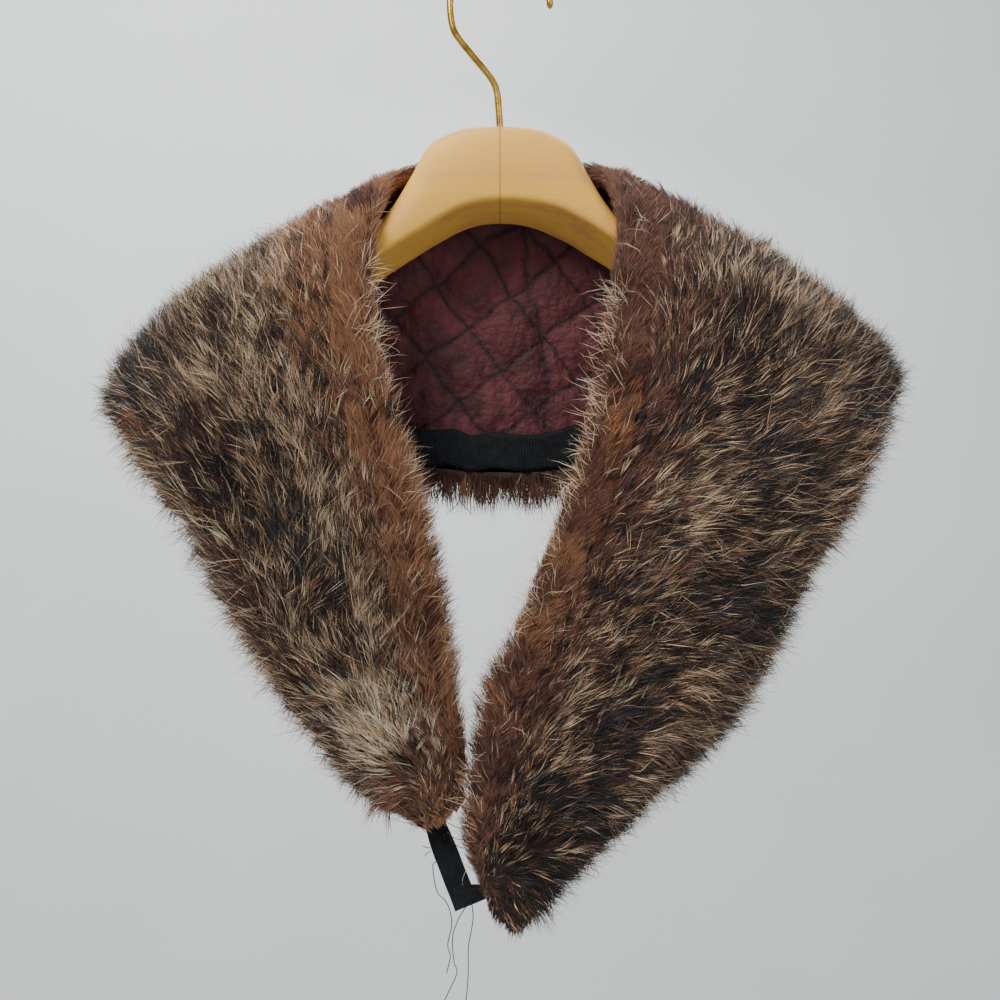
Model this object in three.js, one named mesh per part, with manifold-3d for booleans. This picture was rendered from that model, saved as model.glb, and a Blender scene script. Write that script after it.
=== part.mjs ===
// A fur collar stole hanging on a wooden coat hanger.
//
// Units are millimetres, +Z is up, the front of the stole faces -Y, and the origin is the
// point inside the hanger's hook where a rail would bear. The stole is a crescent that runs
// from the left front tip, up over the left shoulder, round the back and down to the right
// front tip. Every layer of it follows one skin surface: the pile lies outside that surface
// and the quilted lining, its ribbon and the turned edges lie inside it.

import * as THREE from "three";
import { mergeVertices } from "three/addons/utils/BufferGeometryUtils.js";
import Module from "manifold-3d";

// Gaps and layers, measured along the skin's normal, outwards positive
const SEAM_GAP = 0.3;
const LINING_THICKNESS = 1.6;
const QUILT_PUFF = 1.7;
const RIBBON_THICKNESS = 1.0;
const HEM_TURN_DEPTH = 4.2;

// Places across the stole, as shares of its width from the neck edge (0) to the hem (1)
const LINING_START = 0.05;
const BAND_END = 0.13;
const RIBBON_START = 0.82;
const LINING_END = 0.91;
const RIBBON_END = 0.92;
const TURN_START = 0.93;
// Every layer bends at these places, so that neighbours stay parallel.
const BENDS = [BAND_END, 0.27, 0.41, 0.55, 0.69, RIBBON_START, LINING_END];

// Diamond quilting of the lining
const DIAMOND_SIDE = 29;
const DIAMOND_TILT = THREE.MathUtils.degToRad(37);
// How far the two sets of stitch lines are shifted from the origin
const RISING_SHIFT = 23.5;
const FALLING_SHIFT = 18.7;
const STITCH_VALLEY = 0.16;
const GATHER_PITCH = 7.5;
const GATHER_DEPTH = 0.5;

// Hanger
const HOOK_WIRE = 3.6;
const HOOK_RADIUS = 26;
const HOOK_BORE_CLEARANCE = 0.4;
const HOOK_BORE_DEPTH = 15;

// Ribbon tab and loose threads
const TAB_LEFT = 5;
const TAB_RIGHT = 7.4;
const TAB_FOOT_RIGHT = 16;
const BINDING_WIDTH = 12;
const BINDING_SHOWS = 4.5;
const BINDING_HEIGHT = -HEM_TURN_DEPTH - SEAM_GAP;
const THREAD_DIAMETER = 0.5;

// The skin surface, one row for each section of the crescent from the left front tip round
// the back to the right front tip. neck is on the neck edge, middle halfway to the hem, hem
// on the outer edge, and pile is how deep the fur is there.
const SECTIONS = [
  { neck: [-18, -14, -429], middle: [-29, -15, -440], hem: [-41, -10, -447], pile: 7 },
  { neck: [-19, -18, -402], middle: [-49, -20, -409], hem: [-79, -12, -414], pile: 13 },
  { neck: [-26, -24, -366], middle: [-67, -25, -372], hem: [-107, -14, -377], pile: 15 },
  { neck: [-31, -30, -330], middle: [-82, -30, -335], hem: [-131, -16, -339], pile: 16 },
  { neck: [-39, -35, -291], middle: [-97, -35, -293], hem: [-154, -18, -296], pile: 17 },
  { neck: [-52, -37, -247], middle: [-114, -38, -254], hem: [-176, -18, -265], pile: 18 },
  { neck: [-61, -37, -208], middle: [-125, -38, -222], hem: [-190, -15, -243], pile: 18 },
  { neck: [-64, -32, -174], middle: [-132, -34, -197], hem: [-193, -8, -235], pile: 18 },
  { neck: [-62.5, -23, -143], middle: [-134, -21, -183], hem: [-192, 0, -232], pile: 17 },
  { neck: [-57, -8, -119], middle: [-128, -6, -175], hem: [-190, 4, -231], pile: 17 },
  { neck: [-47, 10, -107], middle: [-122, 12, -176], hem: [-184, 12, -234], pile: 18 },
  { neck: [-34, 21, -103], middle: [-98, 20, -174], hem: [-158, 20, -247], pile: 18 },
  { neck: [-17, 23.5, -99], middle: [-54, 25, -181], hem: [-88, 25, -268], pile: 18 },
  { neck: [0, 24, -98], middle: [0, 27, -188], hem: [0, 26, -279], pile: 18 },
  { neck: [17, 23.5, -99], middle: [54, 25, -181], hem: [88, 25, -268], pile: 18 },
  { neck: [32, 21, -103], middle: [98, 20, -173], hem: [160, 20, -247], pile: 20 },
  { neck: [46, 10, -106], middle: [122, 12, -176.5], hem: [186, 12, -233], pile: 23 },
  { neck: [56, -8, -117], middle: [128, -6, -175.5], hem: [194, 4, -229], pile: 25 },
  { neck: [60, -23, -141], middle: [134, -21, -183.5], hem: [197, 0, -230], pile: 23 },
  { neck: [57, -32, -174], middle: [132, -35, -197], hem: [197, -8, -233], pile: 20 },
  { neck: [50, -38, -218], middle: [126, -40, -227], hem: [190, -14, -243], pile: 19 },
  { neck: [42, -40, -254], middle: [116, -42, -257], hem: [181, -17, -262], pile: 19 },
  { neck: [31, -39, -288], middle: [103, -40, -287], hem: [168, -18, -287], pile: 18 },
  { neck: [19, -37, -320], middle: [87, -38, -318], hem: [149, -19, -317], pile: 18 },
  { neck: [7, -34, -349], middle: [73, -35, -351], hem: [133, -19, -352], pile: 17 },
  { neck: [-6, -30, -382], middle: [55, -31, -385], hem: [110, -18, -388], pile: 16 },
  { neck: [-13, -25, -420], middle: [33, -27, -423], hem: [72, -16, -425], pile: 15 },
  { neck: [-15, -20, -454], middle: [12, -22, -460], hem: [33, -14, -465], pile: 12 },
  { neck: [-7, -16, -480], middle: [1, -17, -489], hem: [9, -12, -497], pile: 7 },
];
const LEFT_TIP = 0;
const LEFT_RIDGE = 9;
const RIGHT_RIDGE = 17;
const RIGHT_TIP = SECTIONS.length - 1;

// Soft troughs pressed into the pile: where along the sections, how far across, how long and
// wide (in sections and in shares of the width), and how deep.
const TROUGHS = [
  { along: 6.3, across: 0.82, length: 1.6, width: 0.07, depth: 4.5 },
  { along: 4.6, across: 0.62, length: 1.3, width: 0.06, depth: 5 },
  { along: 2.8, across: 0.45, length: 1.0, width: 0.08, depth: 3.5 },
  { along: 7.6, across: 0.4, length: 1.1, width: 0.09, depth: 2.5 },
  { along: 10.8, across: 0.6, length: 1.2, width: 0.08, depth: 3.5 },
  { along: 12.6, across: 0.42, length: 1.4, width: 0.07, depth: 3.5 },
  { along: 14.6, across: 0.7, length: 1.3, width: 0.08, depth: 4 },
  { along: 18.9, across: 0.3, length: 1.5, width: 0.1, depth: 5.5 },
  { along: 20.6, across: 0.46, length: 1.2, width: 0.07, depth: 5 },
  { along: 21.7, across: 0.8, length: 1.6, width: 0.07, depth: 4.5 },
  { along: 23.8, across: 0.58, length: 1.4, width: 0.08, depth: 3.5 },
  { along: 25.8, across: 0.36, length: 1.1, width: 0.08, depth: 3 },
];

// Rings of each layer: a place across the width, a height over the skin in millimetres and a
// share of the pile's depth that is added to it. seam counts the gaps that a wall stands back
// from its neighbour.
const FUR_RING = [
  ...BENDS.map((across) => ({ across, height: SEAM_GAP, pile: 0 })),
  { across: TURN_START, height: SEAM_GAP, pile: 0 },
  { across: TURN_START, height: -HEM_TURN_DEPTH + 0.6, pile: 0 },
  { across: 0.965, height: -HEM_TURN_DEPTH, pile: 0 },
  { across: 0.995, height: -2.5, pile: 0 },
  { across: 1.01, height: 0, pile: 0.14 },
  { across: 1.005, height: 0, pile: 0.42 },
  { across: 0.975, height: 0, pile: 0.68 },
  { across: 0.92, height: 0, pile: 0.86 },
  { across: 0.82, height: 0, pile: 0.97 },
  { across: 0.69, height: 0, pile: 1 },
  { across: 0.55, height: 0, pile: 0.98 },
  { across: 0.41, height: 0, pile: 0.9 },
  { across: 0.3, height: 0, pile: 0.79 },
  { across: 0.2, height: 0, pile: 0.64 },
  { across: BAND_END, height: 0, pile: 0.48 },
];
const BAND_RING = [
  { across: BAND_END, height: 0, pile: 0.46, seam: -1 },
  { across: 0.08, height: 0, pile: 0.39 },
  { across: 0.032, height: 0, pile: 0.31 },
  { across: 0.002, height: 0, pile: 0.2 },
  { across: -0.008, height: 1.5, pile: 0 },
  { across: 0.002, height: -2, pile: 0 },
  { across: 0.025, height: -4, pile: 0 },
  { across: LINING_START, height: -3.2, pile: 0, seam: -2 },
  { across: LINING_START, height: SEAM_GAP, pile: 0, seam: -2 },
  { across: BAND_END, height: SEAM_GAP, pile: 0, seam: -1 },
];

// The wooden hanger, one row for each section of an arm from the middle outwards. It is
// widest at the neck block and slims towards the arm's end.
const HANGER_SECTIONS = [
  { x: 0, topY: 0, topZ: -87, frontY: -17, frontZ: -129, backY: 17, backZ: -133.5 },
  { x: 20, topY: 0, topZ: -88, frontY: -17, frontZ: -133, backY: 17, backZ: -138.5 },
  { x: 30, topY: 0, topZ: -92, frontY: -17.5, frontZ: -138, backY: 16.5, backZ: -145 },
  { x: 38, topY: -1, topZ: -98.5, frontY: -18, frontZ: -143, backY: 16, backZ: -150 },
  { x: 46, topY: -2, topZ: -113, frontY: -18.5, frontZ: -148, backY: 14, backZ: -156 },
  { x: 55, topY: -3, topZ: -128, frontY: -19, frontZ: -154, backY: 11, backZ: -162 },
  { x: 66, topY: -4, topZ: -140, frontY: -20, frontZ: -161, backY: 8.5, backZ: -169 },
  { x: 84, topY: -5, topZ: -148.7, frontY: -21, frontZ: -173, backY: 7, backZ: -180 },
  { x: 105, topY: -6, topZ: -163, frontY: -21.5, frontZ: -188, backY: 6, backZ: -194 },
  { x: 128, topY: -6.5, topZ: -180.5, frontY: -21, frontZ: -206, backY: 5, backZ: -211 },
  { x: 148, topY: -6.5, topZ: -198, frontY: -19, frontZ: -222, backY: 3, backZ: -226 },
  { x: 160, topY: -6.5, topZ: -211, frontY: -16.5, frontZ: -232, backY: 1, backZ: -235 },
  { x: 166, topY: -6.5, topZ: -222, frontY: -13, frontZ: -236, backY: -1.5, backZ: -238 },
];

// The arms are not quite alike: at the same sections, the back edge under the left arm and the
// whole underside of the right arm lie higher by these amounts
const LEFT_BACK_LIFT = [0, 0.8, 2.3, 2.5, 3, 2.5, 1.5, 0.5, 0, 0, 0, 0, 0];
const RIGHT_UNDER_LIFT = [0, 1.5, 3.8, 4.7, 5, 4.8, 3.6, 1.8, 0.5, 0, 0, 0, 0];

// The three loose threads: where each leaves the tab, as a share of its length and of the
// width on its left, and its route from there
const THREADS = {
  thread_left: {
    down: 0.42, side: -0.95,
    route: [
      [-34.4, -8.3, -468.2], [-33.7, -9.2, -475], [-31.9, -9.8, -481.6], [-28, -10.2, -485.6],
      [-25.7, -10.4, -490.5], [-24.7, -10.5, -498], [-26.7, -10.6, -508], [-25.4, -10.6, -514],
      [-27.3, -10.6, -522.5],
    ],
  },
  thread_middle: {
    down: 0.97, side: 0.7,
    route: [
      [-18.7, -12.2, -490], [-21.9, -12.2, -496], [-24.2, -12, -504], [-23.5, -12, -515.6],
      [-21.9, -11.8, -521], [-23.5, -11.6, -526], [-27.8, -11.5, -535], [-30.2, -11.4, -541],
    ],
  },
  thread_right: {
    down: 0.96, side: 0.95,
    route: [
      [-13.7, -12.2, -492.5], [-14.4, -12.2, -499], [-16.1, -12, -508.5], [-16.2, -12, -518],
      [-16.4, -11.8, -526], [-17.2, -11.6, -535], [-17.8, -11.6, -543.5],
    ],
  },
};

const COLOURS = {
  fur: { color: "#6d5440", roughness: 0.9, metalness: 0 },
  band: { color: "#7b4a2f", roughness: 0.9, metalness: 0 },
  lining: { color: "#5c2b33", roughness: 0.45, metalness: 0 },
  ribbon: { color: "#14191c", roughness: 0.6, metalness: 0 },
  wood: { color: "#cfa465", roughness: 0.45, metalness: 0 },
  brass: { color: "#c9a35a", roughness: 0.25, metalness: 1 },
  thread: { color: "#1b1d20", roughness: 0.8, metalness: 0 },
};

const root = new THREE.Group();

function addMesh(name, geometry, finish) {
  const mesh = new THREE.Mesh(geometry, new THREE.MeshStandardMaterial(COLOURS[finish]));
  mesh.name = name;
  root.add(mesh);
  return mesh;
}

// Skin surface

function splineOf(key) {
  return new THREE.CatmullRomCurve3(
    SECTIONS.map((row) => new THREE.Vector3(...row[key])), false, "catmullrom", 0.5,
  );
}
const neckLine = splineOf("neck");
const middleLine = splineOf("middle");
const hemLine = splineOf("hem");

// A point of the skin: along counts sections, across runs from the neck edge to the hem.
function skinPoint(along, across) {
  const t = THREE.MathUtils.clamp(along / RIGHT_TIP, 0, 1);
  const neck = neckLine.getPoint(t);
  const middle = middleLine.getPoint(t);
  const hem = hemLine.getPoint(t);
  const control = middle.multiplyScalar(2).addScaledVector(neck, -0.5).addScaledVector(hem, -0.5);
  const back = 1 - across;
  return neck
    .multiplyScalar(back * back)
    .addScaledVector(control, 2 * back * across)
    .addScaledVector(hem, across * across);
}

function skinDirections(along, across) {
  const step = 0.02;
  const before = Math.max(along - step, LEFT_TIP);
  const after = Math.min(along + step, RIGHT_TIP);
  const lengthways = skinPoint(after, across).sub(skinPoint(before, across));
  const crossways = skinPoint(along, across + step).sub(skinPoint(along, across - step));
  return { lengthways, crossways };
}

// The outward normal, towards the pile.
function skinNormal(along, across) {
  const { lengthways, crossways } = skinDirections(along, across);
  return lengthways.cross(crossways).normalize();
}

// A point at a height over the skin. section holds the place along and how far its wall stands
// back from a seam, and seam does the same across.
function overSkin(section, across, height, seam = 0) {
  const { along, setBack } = section;
  const { lengthways, crossways } = skinDirections(along, across);
  return skinPoint(along, across)
    .addScaledVector(skinNormal(along, across), height)
    .addScaledVector(lengthways.normalize(), setBack)
    .addScaledVector(crossways.normalize(), seam * SEAM_GAP);
}

function pileDepth(along) {
  const low = Math.min(Math.floor(along), RIGHT_TIP - 1);
  return THREE.MathUtils.lerp(SECTIONS[low].pile, SECTIONS[low + 1].pile, along - low);
}

function troughDepth(along, across) {
  return TROUGHS.reduce((depth, trough) => {
    const lengthways = (along - trough.along) / trough.length;
    const crossways = (across - trough.across) / trough.width;
    return depth + trough.depth * Math.exp(-(lengthways ** 2) - crossways ** 2);
  }, 0);
}

// Closed solids from rings of points

// rings is a list of equally long closed rings of points, joined one to the next and capped
// at both ends. profile gives each point of a ring its place across and its height: walls
// that face each other over a seam then split their faces along the same diagonals, and a
// cap is zipped up between the ring's two sides.
function loft(rings, profile = plainProfile(rings[0].length)) {
  const ringLength = rings[0].length;
  const positions = rings.flat().flatMap((p) => p.toArray());
  const rank = profile.map(({ across, height }) => across * 1000 + height);
  const faces = [];
  for (let i = 0; i + 1 < rings.length; i++) {
    for (let j = 0; j < ringLength; j++) {
      const k = (j + 1) % ringLength;
      const [a, b] = [i * ringLength + j, i * ringLength + k];
      const [c, d] = [b + ringLength, a + ringLength];
      faces.push(...(rank[j] < rank[k] ? [a, b, c, a, c, d] : [a, b, d, b, c, d]));
    }
  }
  const reach = profile.map(({ across }) => Math.abs(across - profile[0].across));
  for (const [start, first] of [[0, true], [(rings.length - 1) * ringLength, false]]) {
    let [near, far] = [0, ringLength - 1];
    while (near + 1 < far) {
      const advanceNear = reach[near + 1] <= reach[far - 1];
      const third = advanceNear ? near + 1 : far - 1;
      const corners = [start + near, start + third, start + far];
      faces.push(...(first ? corners.reverse() : corners));
      if (advanceNear) near = third;
      else far = third;
    }
  }
  const geometry = new THREE.BufferGeometry();
  geometry.setAttribute("position", new THREE.Float32BufferAttribute(positions, 3));
  geometry.setIndex(faces);
  geometry.computeVertexNormals();
  return geometry;
}

function plainProfile(length) {
  return Array.from({ length }, (_, j) => ({ across: Math.min(j, length - 1 - j), height: 0 }));
}

function stepsBetween(from, to, count) {
  return Array.from({ length: count + 1 }, (_, i) => from + ((to - from) * i) / count);
}

// The sections of a part of the stole, with its two ends standing back from their seams
function sectionsOf(span) {
  const places = span.runs.flatMap(([from, to, count], i) =>
    stepsBetween(from, to, count).slice(i > 0 ? 1 : 0));
  return places.map((along, i) => {
    const setBack = i === 0 ? span.startBack : i === places.length - 1 ? -span.endBack : 0;
    return { along, setBack };
  });
}

// Each gap between places is filled with evenly spaced ones.
function refined(places, pieces) {
  return places.flatMap((place, i) =>
    i === 0 ? [place] : stepsBetween(places[i - 1], place, pieces).slice(1));
}

// A layer of pile between two sections, with its troughs
function pileLayer(ring, span) {
  return loft(sectionsOf(span).map((section) =>
    ring.map(({ across, height, pile, seam }) => {
      const depth = pileDepth(section.along) - troughDepth(section.along, across);
      const top = height + pile * depth;
      return overSkin(section, across, top, seam);
    }),
  ), ring.map(({ across, height, pile }) => ({ across, height: height + pile })));
}

// Height of the quilted face over the lining's flat side: a cushion in each diamond, sunk at
// the stitch lines, and small gathers where it runs under the ribbon.
function quiltHeight(point, across) {
  const cushion = (distance) => {
    const share = distance / DIAMOND_SIDE;
    const fromLine = Math.abs(share - Math.round(share));
    return Math.min(1, fromLine / STITCH_VALLEY);
  };
  const rising = point.x * Math.sin(DIAMOND_TILT) - point.z * Math.cos(DIAMOND_TILT);
  const falling = point.x * Math.cos(DIAMOND_TILT) + point.z * Math.sin(DIAMOND_TILT);
  const edge = THREE.MathUtils.smoothstep(across, LINING_START, LINING_START + 0.06)
    * (1 - THREE.MathUtils.smoothstep(across, RIBBON_START - 0.08, RIBBON_START - 0.02));
  const gathers = GATHER_DEPTH * Math.sin((2 * Math.PI * point.x) / GATHER_PITCH)
    * THREE.MathUtils.smoothstep(across, 0.5, RIBBON_START - 0.06) * edge;
  const rise = Math.sqrt(cushion(rising - RISING_SHIFT) * cushion(falling - FALLING_SHIFT));
  return QUILT_PUFF * rise * edge + gathers;
}

// The lining: a plain side against the skin and a quilted side that shows
function liningPanel(span) {
  const plainPlaces = [LINING_START, ...BENDS];
  const quiltPlaces = refined(plainPlaces, span.quiltSteps);
  const rings = sectionsOf(span).map((section) => {
    const plain = plainPlaces.map((across) => overSkin(section, across, -SEAM_GAP));
    const quilted = quiltPlaces.map((across) => {
      const puff = quiltHeight(skinPoint(section.along, across), across);
      return overSkin(section, across, -SEAM_GAP - LINING_THICKNESS - puff);
    });
    return [...quilted, ...plain.reverse()];
  });
  return loft(rings, [
    ...quiltPlaces.map((across) => ({ across, height: -1 })),
    ...plainPlaces.toReversed().map((across) => ({ across, height: 0 })),
  ]);
}

// The ribbon that covers the lining's lower edge
function hemRibbon(span) {
  const inner = -SEAM_GAP * 2 - LINING_THICKNESS;
  const places = [RIBBON_START, LINING_END, RIBBON_END];
  const profile = [
    ...places.map((across) => ({ across, height: inner - RIBBON_THICKNESS })),
    ...places.toReversed().map((across) => ({ across, height: inner })),
  ];
  return loft(sectionsOf(span).map((section) =>
    profile.map(({ across, height }) => overSkin(section, across, height))), profile);
}

// Ribbon pieces at the tips

// A flat strip of ribbon: each row has a point of its line and how far it reaches to each side.
function strip(rows, across, face, thickness) {
  return loft(rows.map(({ at, left, right }) => {
    const corner = (side, layer) => at.clone()
      .addScaledVector(across, side)
      .addScaledVector(face, layer * thickness * 0.5);
    return [
      corner(-left, 1), corner(0, 1), corner(right, 1),
      corner(right, -1), corner(0, -1), corner(-left, -1),
    ];
  }));
}

// The ribbon that binds a front tip: it lies inside the tip and shows below its edge.
// reach is how far past the neck edge it starts, as a share of the width.
function tipBinding(tip, inwards, reach) {
  const rows = [BINDING_SHOWS, BINDING_SHOWS * 0.4, -2, BINDING_SHOWS - BINDING_WIDTH];
  const places = stepsBetween(-reach, 0.98, 8);
  const layer = (height) => rows.map((shift) =>
    places.map((across) => byTip(tip, inwards, across, height, shift)));
  const near = layer(BINDING_HEIGHT);
  const far = layer(BINDING_HEIGHT - RIBBON_THICKNESS);
  const rings = places.map((_, i) => [
    ...near.map((row) => row[i]),
    ...far.map((row) => row[i]).reverse(),
  ]);
  return loft(inwards > 0 ? rings : rings.reverse());
}

// A point by a tip: beyond counts millimetres away from the stole past the tip's end.
function byTip(tip, inwards, across, height, beyond) {
  const away = skinPoint(tip, 0.5).sub(skinPoint(tip + inwards * 0.2, 0.5)).normalize();
  return overSkin({ along: tip, setBack: 0 }, across, height).addScaledVector(away, beyond);
}

// Hanger

function hangerRing(row, frontLift, backLift) {
  const height = row.topZ - row.frontZ;
  const frontZ = row.frontZ + frontLift;
  const backZ = row.backZ + backLift;
  const quadratic = (a, b, c, t) => a.map((v, k) =>
    v * (1 - t) ** 2 + 2 * b[k] * t * (1 - t) + c[k] * t ** 2);
  const front = [row.frontY, frontZ + 1.6];
  const back = [row.backY, backZ + 1.6];
  const top = [row.topY, row.topZ];
  const frontPull = [row.frontY - 0.5, row.topZ - height * 0.18];
  const backPull = [row.backY + 0.5, row.topZ - height * 0.04];
  const outline = [
    ...[0, 0.25, 0.5, 0.75].map((t) => quadratic(front, frontPull, top, t)),
    ...[0, 0.25, 0.5, 0.75].map((t) => quadratic(top, backPull, back, t)),
    back,
    [row.backY - 1.8, backZ],
    [(row.frontY + row.backY) / 2, (frontZ + backZ) / 2 + 0.4],
    [row.frontY + 1.8, frontZ],
  ];
  return outline;
}

function hangerArm(side) {
  const rings = HANGER_SECTIONS.map((row, i) => {
    const x = side * Math.max(row.x, SEAM_GAP / 2);
    const frontLift = side > 0 ? RIGHT_UNDER_LIFT[i] : 0;
    const backLift = side > 0 ? RIGHT_UNDER_LIFT[i] : LEFT_BACK_LIFT[i];
    return hangerRing(row, frontLift, backLift).map(([y, z]) => new THREE.Vector3(x, y, z));
  });
  return loft(side > 0 ? rings.reverse() : rings);
}

const wasm = await Module();
wasm.setup();

function toManifold(geometry) {
  const bare = geometry.clone();
  bare.deleteAttribute("normal");
  bare.deleteAttribute("uv");
  const merged = mergeVertices(bare);
  return new wasm.Manifold(new wasm.Mesh({
    numProp: 3,
    vertProperties: merged.attributes.position.array,
    triVerts: new Uint32Array(merged.index.array),
  }));
}

function toGeometry(manifold) {
  const { vertProperties, triVerts } = manifold.getMesh();
  const geometry = new THREE.BufferGeometry();
  geometry.setAttribute("position", new THREE.BufferAttribute(vertProperties, 3));
  geometry.setIndex(new THREE.BufferAttribute(triVerts, 1));
  geometry.computeVertexNormals();
  return geometry;
}

// The hole in the neck block that the hook's stem stands in
function hookBore() {
  const radius = HOOK_WIRE / 2 + HOOK_BORE_CLEARANCE;
  const bore = new THREE.CylinderGeometry(radius, radius, HOOK_BORE_DEPTH * 2, 12);
  bore.rotateX(Math.PI / 2);
  bore.translate(0, 0, HANGER_SECTIONS[0].topZ);
  return toManifold(bore);
}

function boredArm(side) {
  return toGeometry(toManifold(hangerArm(side)).subtract(hookBore()));
}

function circle(radius, sides) {
  const shape = new THREE.Shape();
  stepsBetween(0, 2 * Math.PI, sides).slice(0, -1).forEach((angle, i) => {
    const x = radius * Math.cos(angle);
    const y = radius * Math.sin(angle);
    if (i === 0) shape.moveTo(x, y);
    else shape.lineTo(x, y);
  });
  shape.closePath();
  return shape;
}

function tube(points, radius, sides, steps) {
  const path = new THREE.CatmullRomCurve3(points, false, "centripetal");
  return new THREE.ExtrudeGeometry(circle(radius, sides), { steps, extrudePath: path });
}

// The hook: a stem in the neck block, a slanting shank and a round crook
function hook() {
  const crookCentreZ = HOOK_WIRE / 2 - HOOK_RADIUS;
  const stemFoot = HANGER_SECTIONS[0].topZ - HOOK_BORE_DEPTH + 1;
  const shank = [
    [0, stemFoot], [0, -90], [-0.8, -76], [-1.9, -67.5], [-5, -61],
    [-13, -51.2], [-21.4, -40.8], [-24.6, -34.6],
  ];
  const crook = stepsBetween(Math.PI, -0.05, 16).map((angle) =>
    [HOOK_RADIUS * Math.cos(angle), crookCentreZ + HOOK_RADIUS * Math.sin(angle)]);
  const route = [...shank, ...crook].map(([x, z]) => new THREE.Vector3(x, 0, z));
  return tube(route, HOOK_WIRE / 2, 8, 44);
}

// Parts of the stole

// runs holds stretches of sections and how many steps each takes.
const halfGap = SEAM_GAP / 2;
const spans = {
  left: { runs: [[LEFT_TIP, LEFT_RIDGE, 26]], startBack: 0, endBack: halfGap, quiltSteps: 1 },
  back: {
    runs: [[LEFT_RIDGE, 11, 6], [11, 15, 34], [15, RIGHT_RIDGE, 6]],
    startBack: halfGap, endBack: halfGap, quiltSteps: 3,
  },
  right: { runs: [[RIGHT_RIDGE, RIGHT_TIP, 32]], startBack: halfGap, endBack: 0, quiltSteps: 1 },
};

for (const [side, span] of Object.entries(spans)) {
  const fur = side === "back" ? "fur_back" : `fur_front_${side}`;
  addMesh(fur, pileLayer(FUR_RING, span), "fur");
  addMesh(`neck_band_${side}`, pileLayer(BAND_RING, span), "band");
  addMesh(`lining_${side}`, liningPanel(span), "lining");
  addMesh(`hem_ribbon_${side}`, hemRibbon(span), "ribbon");
}
addMesh("tip_binding_left", tipBinding(LEFT_TIP, 1, 0), "ribbon");
addMesh("tip_binding_right", tipBinding(RIGHT_TIP, -1, 0.3), "ribbon");

// The closing tab hangs behind the left tip's binding, and its foot runs on behind the right
// tip's.
const tabTop = new THREE.Vector3(-35.6, -4.1, -447);
const tabFoot = new THREE.Vector3(-18.2, -10.8, -489);
const tabDown = tabFoot.clone().sub(tabTop);
const tabAcross = new THREE.Vector3(-tabDown.z, 0, tabDown.x).normalize();
const tabFace = new THREE.Vector3().crossVectors(tabAcross, tabDown).normalize();
const TAB_ROWS = [
  { down: 0, left: 3.6, right: 6.5 },
  { down: 0.2, left: 4.7, right: 7.2 },
  { down: 0.4, left: TAB_LEFT, right: TAB_RIGHT },
  { down: 0.6, left: TAB_LEFT, right: TAB_RIGHT },
  { down: 0.8, left: TAB_LEFT, right: TAB_RIGHT },
  { down: 0.88, left: TAB_LEFT, right: TAB_FOOT_RIGHT },
  { down: 1, left: TAB_LEFT, right: TAB_FOOT_RIGHT },
];
addMesh("closing_tab", strip(
  TAB_ROWS.map(({ down, left, right }) => (
    { at: tabTop.clone().addScaledVector(tabDown, down), left, right }
  )),
  tabAcross, tabFace, RIBBON_THICKNESS,
), "ribbon");

for (const [name, { down, side, route }] of Object.entries(THREADS)) {
  const start = tabTop.clone()
    .addScaledVector(tabDown, down)
    .addScaledVector(tabAcross, side * TAB_LEFT)
    .addScaledVector(tabFace, -RIBBON_THICKNESS / 2 - SEAM_GAP - THREAD_DIAMETER / 2);
  const points = [start, ...route.map((p) => new THREE.Vector3(...p))];
  addMesh(name, tube(points, THREAD_DIAMETER / 2, 6, 14), "thread");
}

addMesh("hanger_arm_left", boredArm(-1), "wood");
addMesh("hanger_arm_right", boredArm(1), "wood");
addMesh("hanger_hook", hook(), "brass");

export default root;
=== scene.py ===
# %% [markdown]
# # A fur collar stole on a wooden hanger
# The stole is a long curved band of pelt that lies over a hanger as it would lie over two
# shoulders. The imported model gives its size, and it is loaded first so that every piece made
# here can be set against it. That frame is in metres. Small lengths are written in millimetres,
# as a maker measures them, and turned into metres where a mesh is made.

import math

import bmesh
import bpy
import numpy as np
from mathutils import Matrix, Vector


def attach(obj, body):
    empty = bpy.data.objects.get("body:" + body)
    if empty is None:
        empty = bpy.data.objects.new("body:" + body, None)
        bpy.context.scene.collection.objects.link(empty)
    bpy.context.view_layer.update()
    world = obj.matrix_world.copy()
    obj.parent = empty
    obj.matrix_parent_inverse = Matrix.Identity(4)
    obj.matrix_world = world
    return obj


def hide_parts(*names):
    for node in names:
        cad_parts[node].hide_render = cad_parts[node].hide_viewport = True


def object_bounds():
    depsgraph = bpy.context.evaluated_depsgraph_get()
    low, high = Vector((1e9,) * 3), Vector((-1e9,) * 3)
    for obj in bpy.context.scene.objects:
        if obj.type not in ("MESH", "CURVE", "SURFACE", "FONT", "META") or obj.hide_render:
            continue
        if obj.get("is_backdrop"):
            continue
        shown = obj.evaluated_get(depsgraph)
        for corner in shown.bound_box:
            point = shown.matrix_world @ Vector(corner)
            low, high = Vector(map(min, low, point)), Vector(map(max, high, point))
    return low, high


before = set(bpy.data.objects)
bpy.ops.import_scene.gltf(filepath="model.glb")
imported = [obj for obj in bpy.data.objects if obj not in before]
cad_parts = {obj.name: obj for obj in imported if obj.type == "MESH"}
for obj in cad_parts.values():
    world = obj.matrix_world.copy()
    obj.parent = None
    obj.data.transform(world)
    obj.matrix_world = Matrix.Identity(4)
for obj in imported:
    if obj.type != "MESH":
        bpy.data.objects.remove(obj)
frame_low, frame_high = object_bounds()
print("frame box", [round(v, 4) for v in frame_low], [round(v, 4) for v in frame_high])

# %% [markdown]
# ## Camera
# The picture was taken from straight in front with the stole filling the frame. A lens a little
# longer than the sensor is wide, 0.6 m away and level with the middle of the fur, gives the same
# spread of the two fronts.

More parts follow.
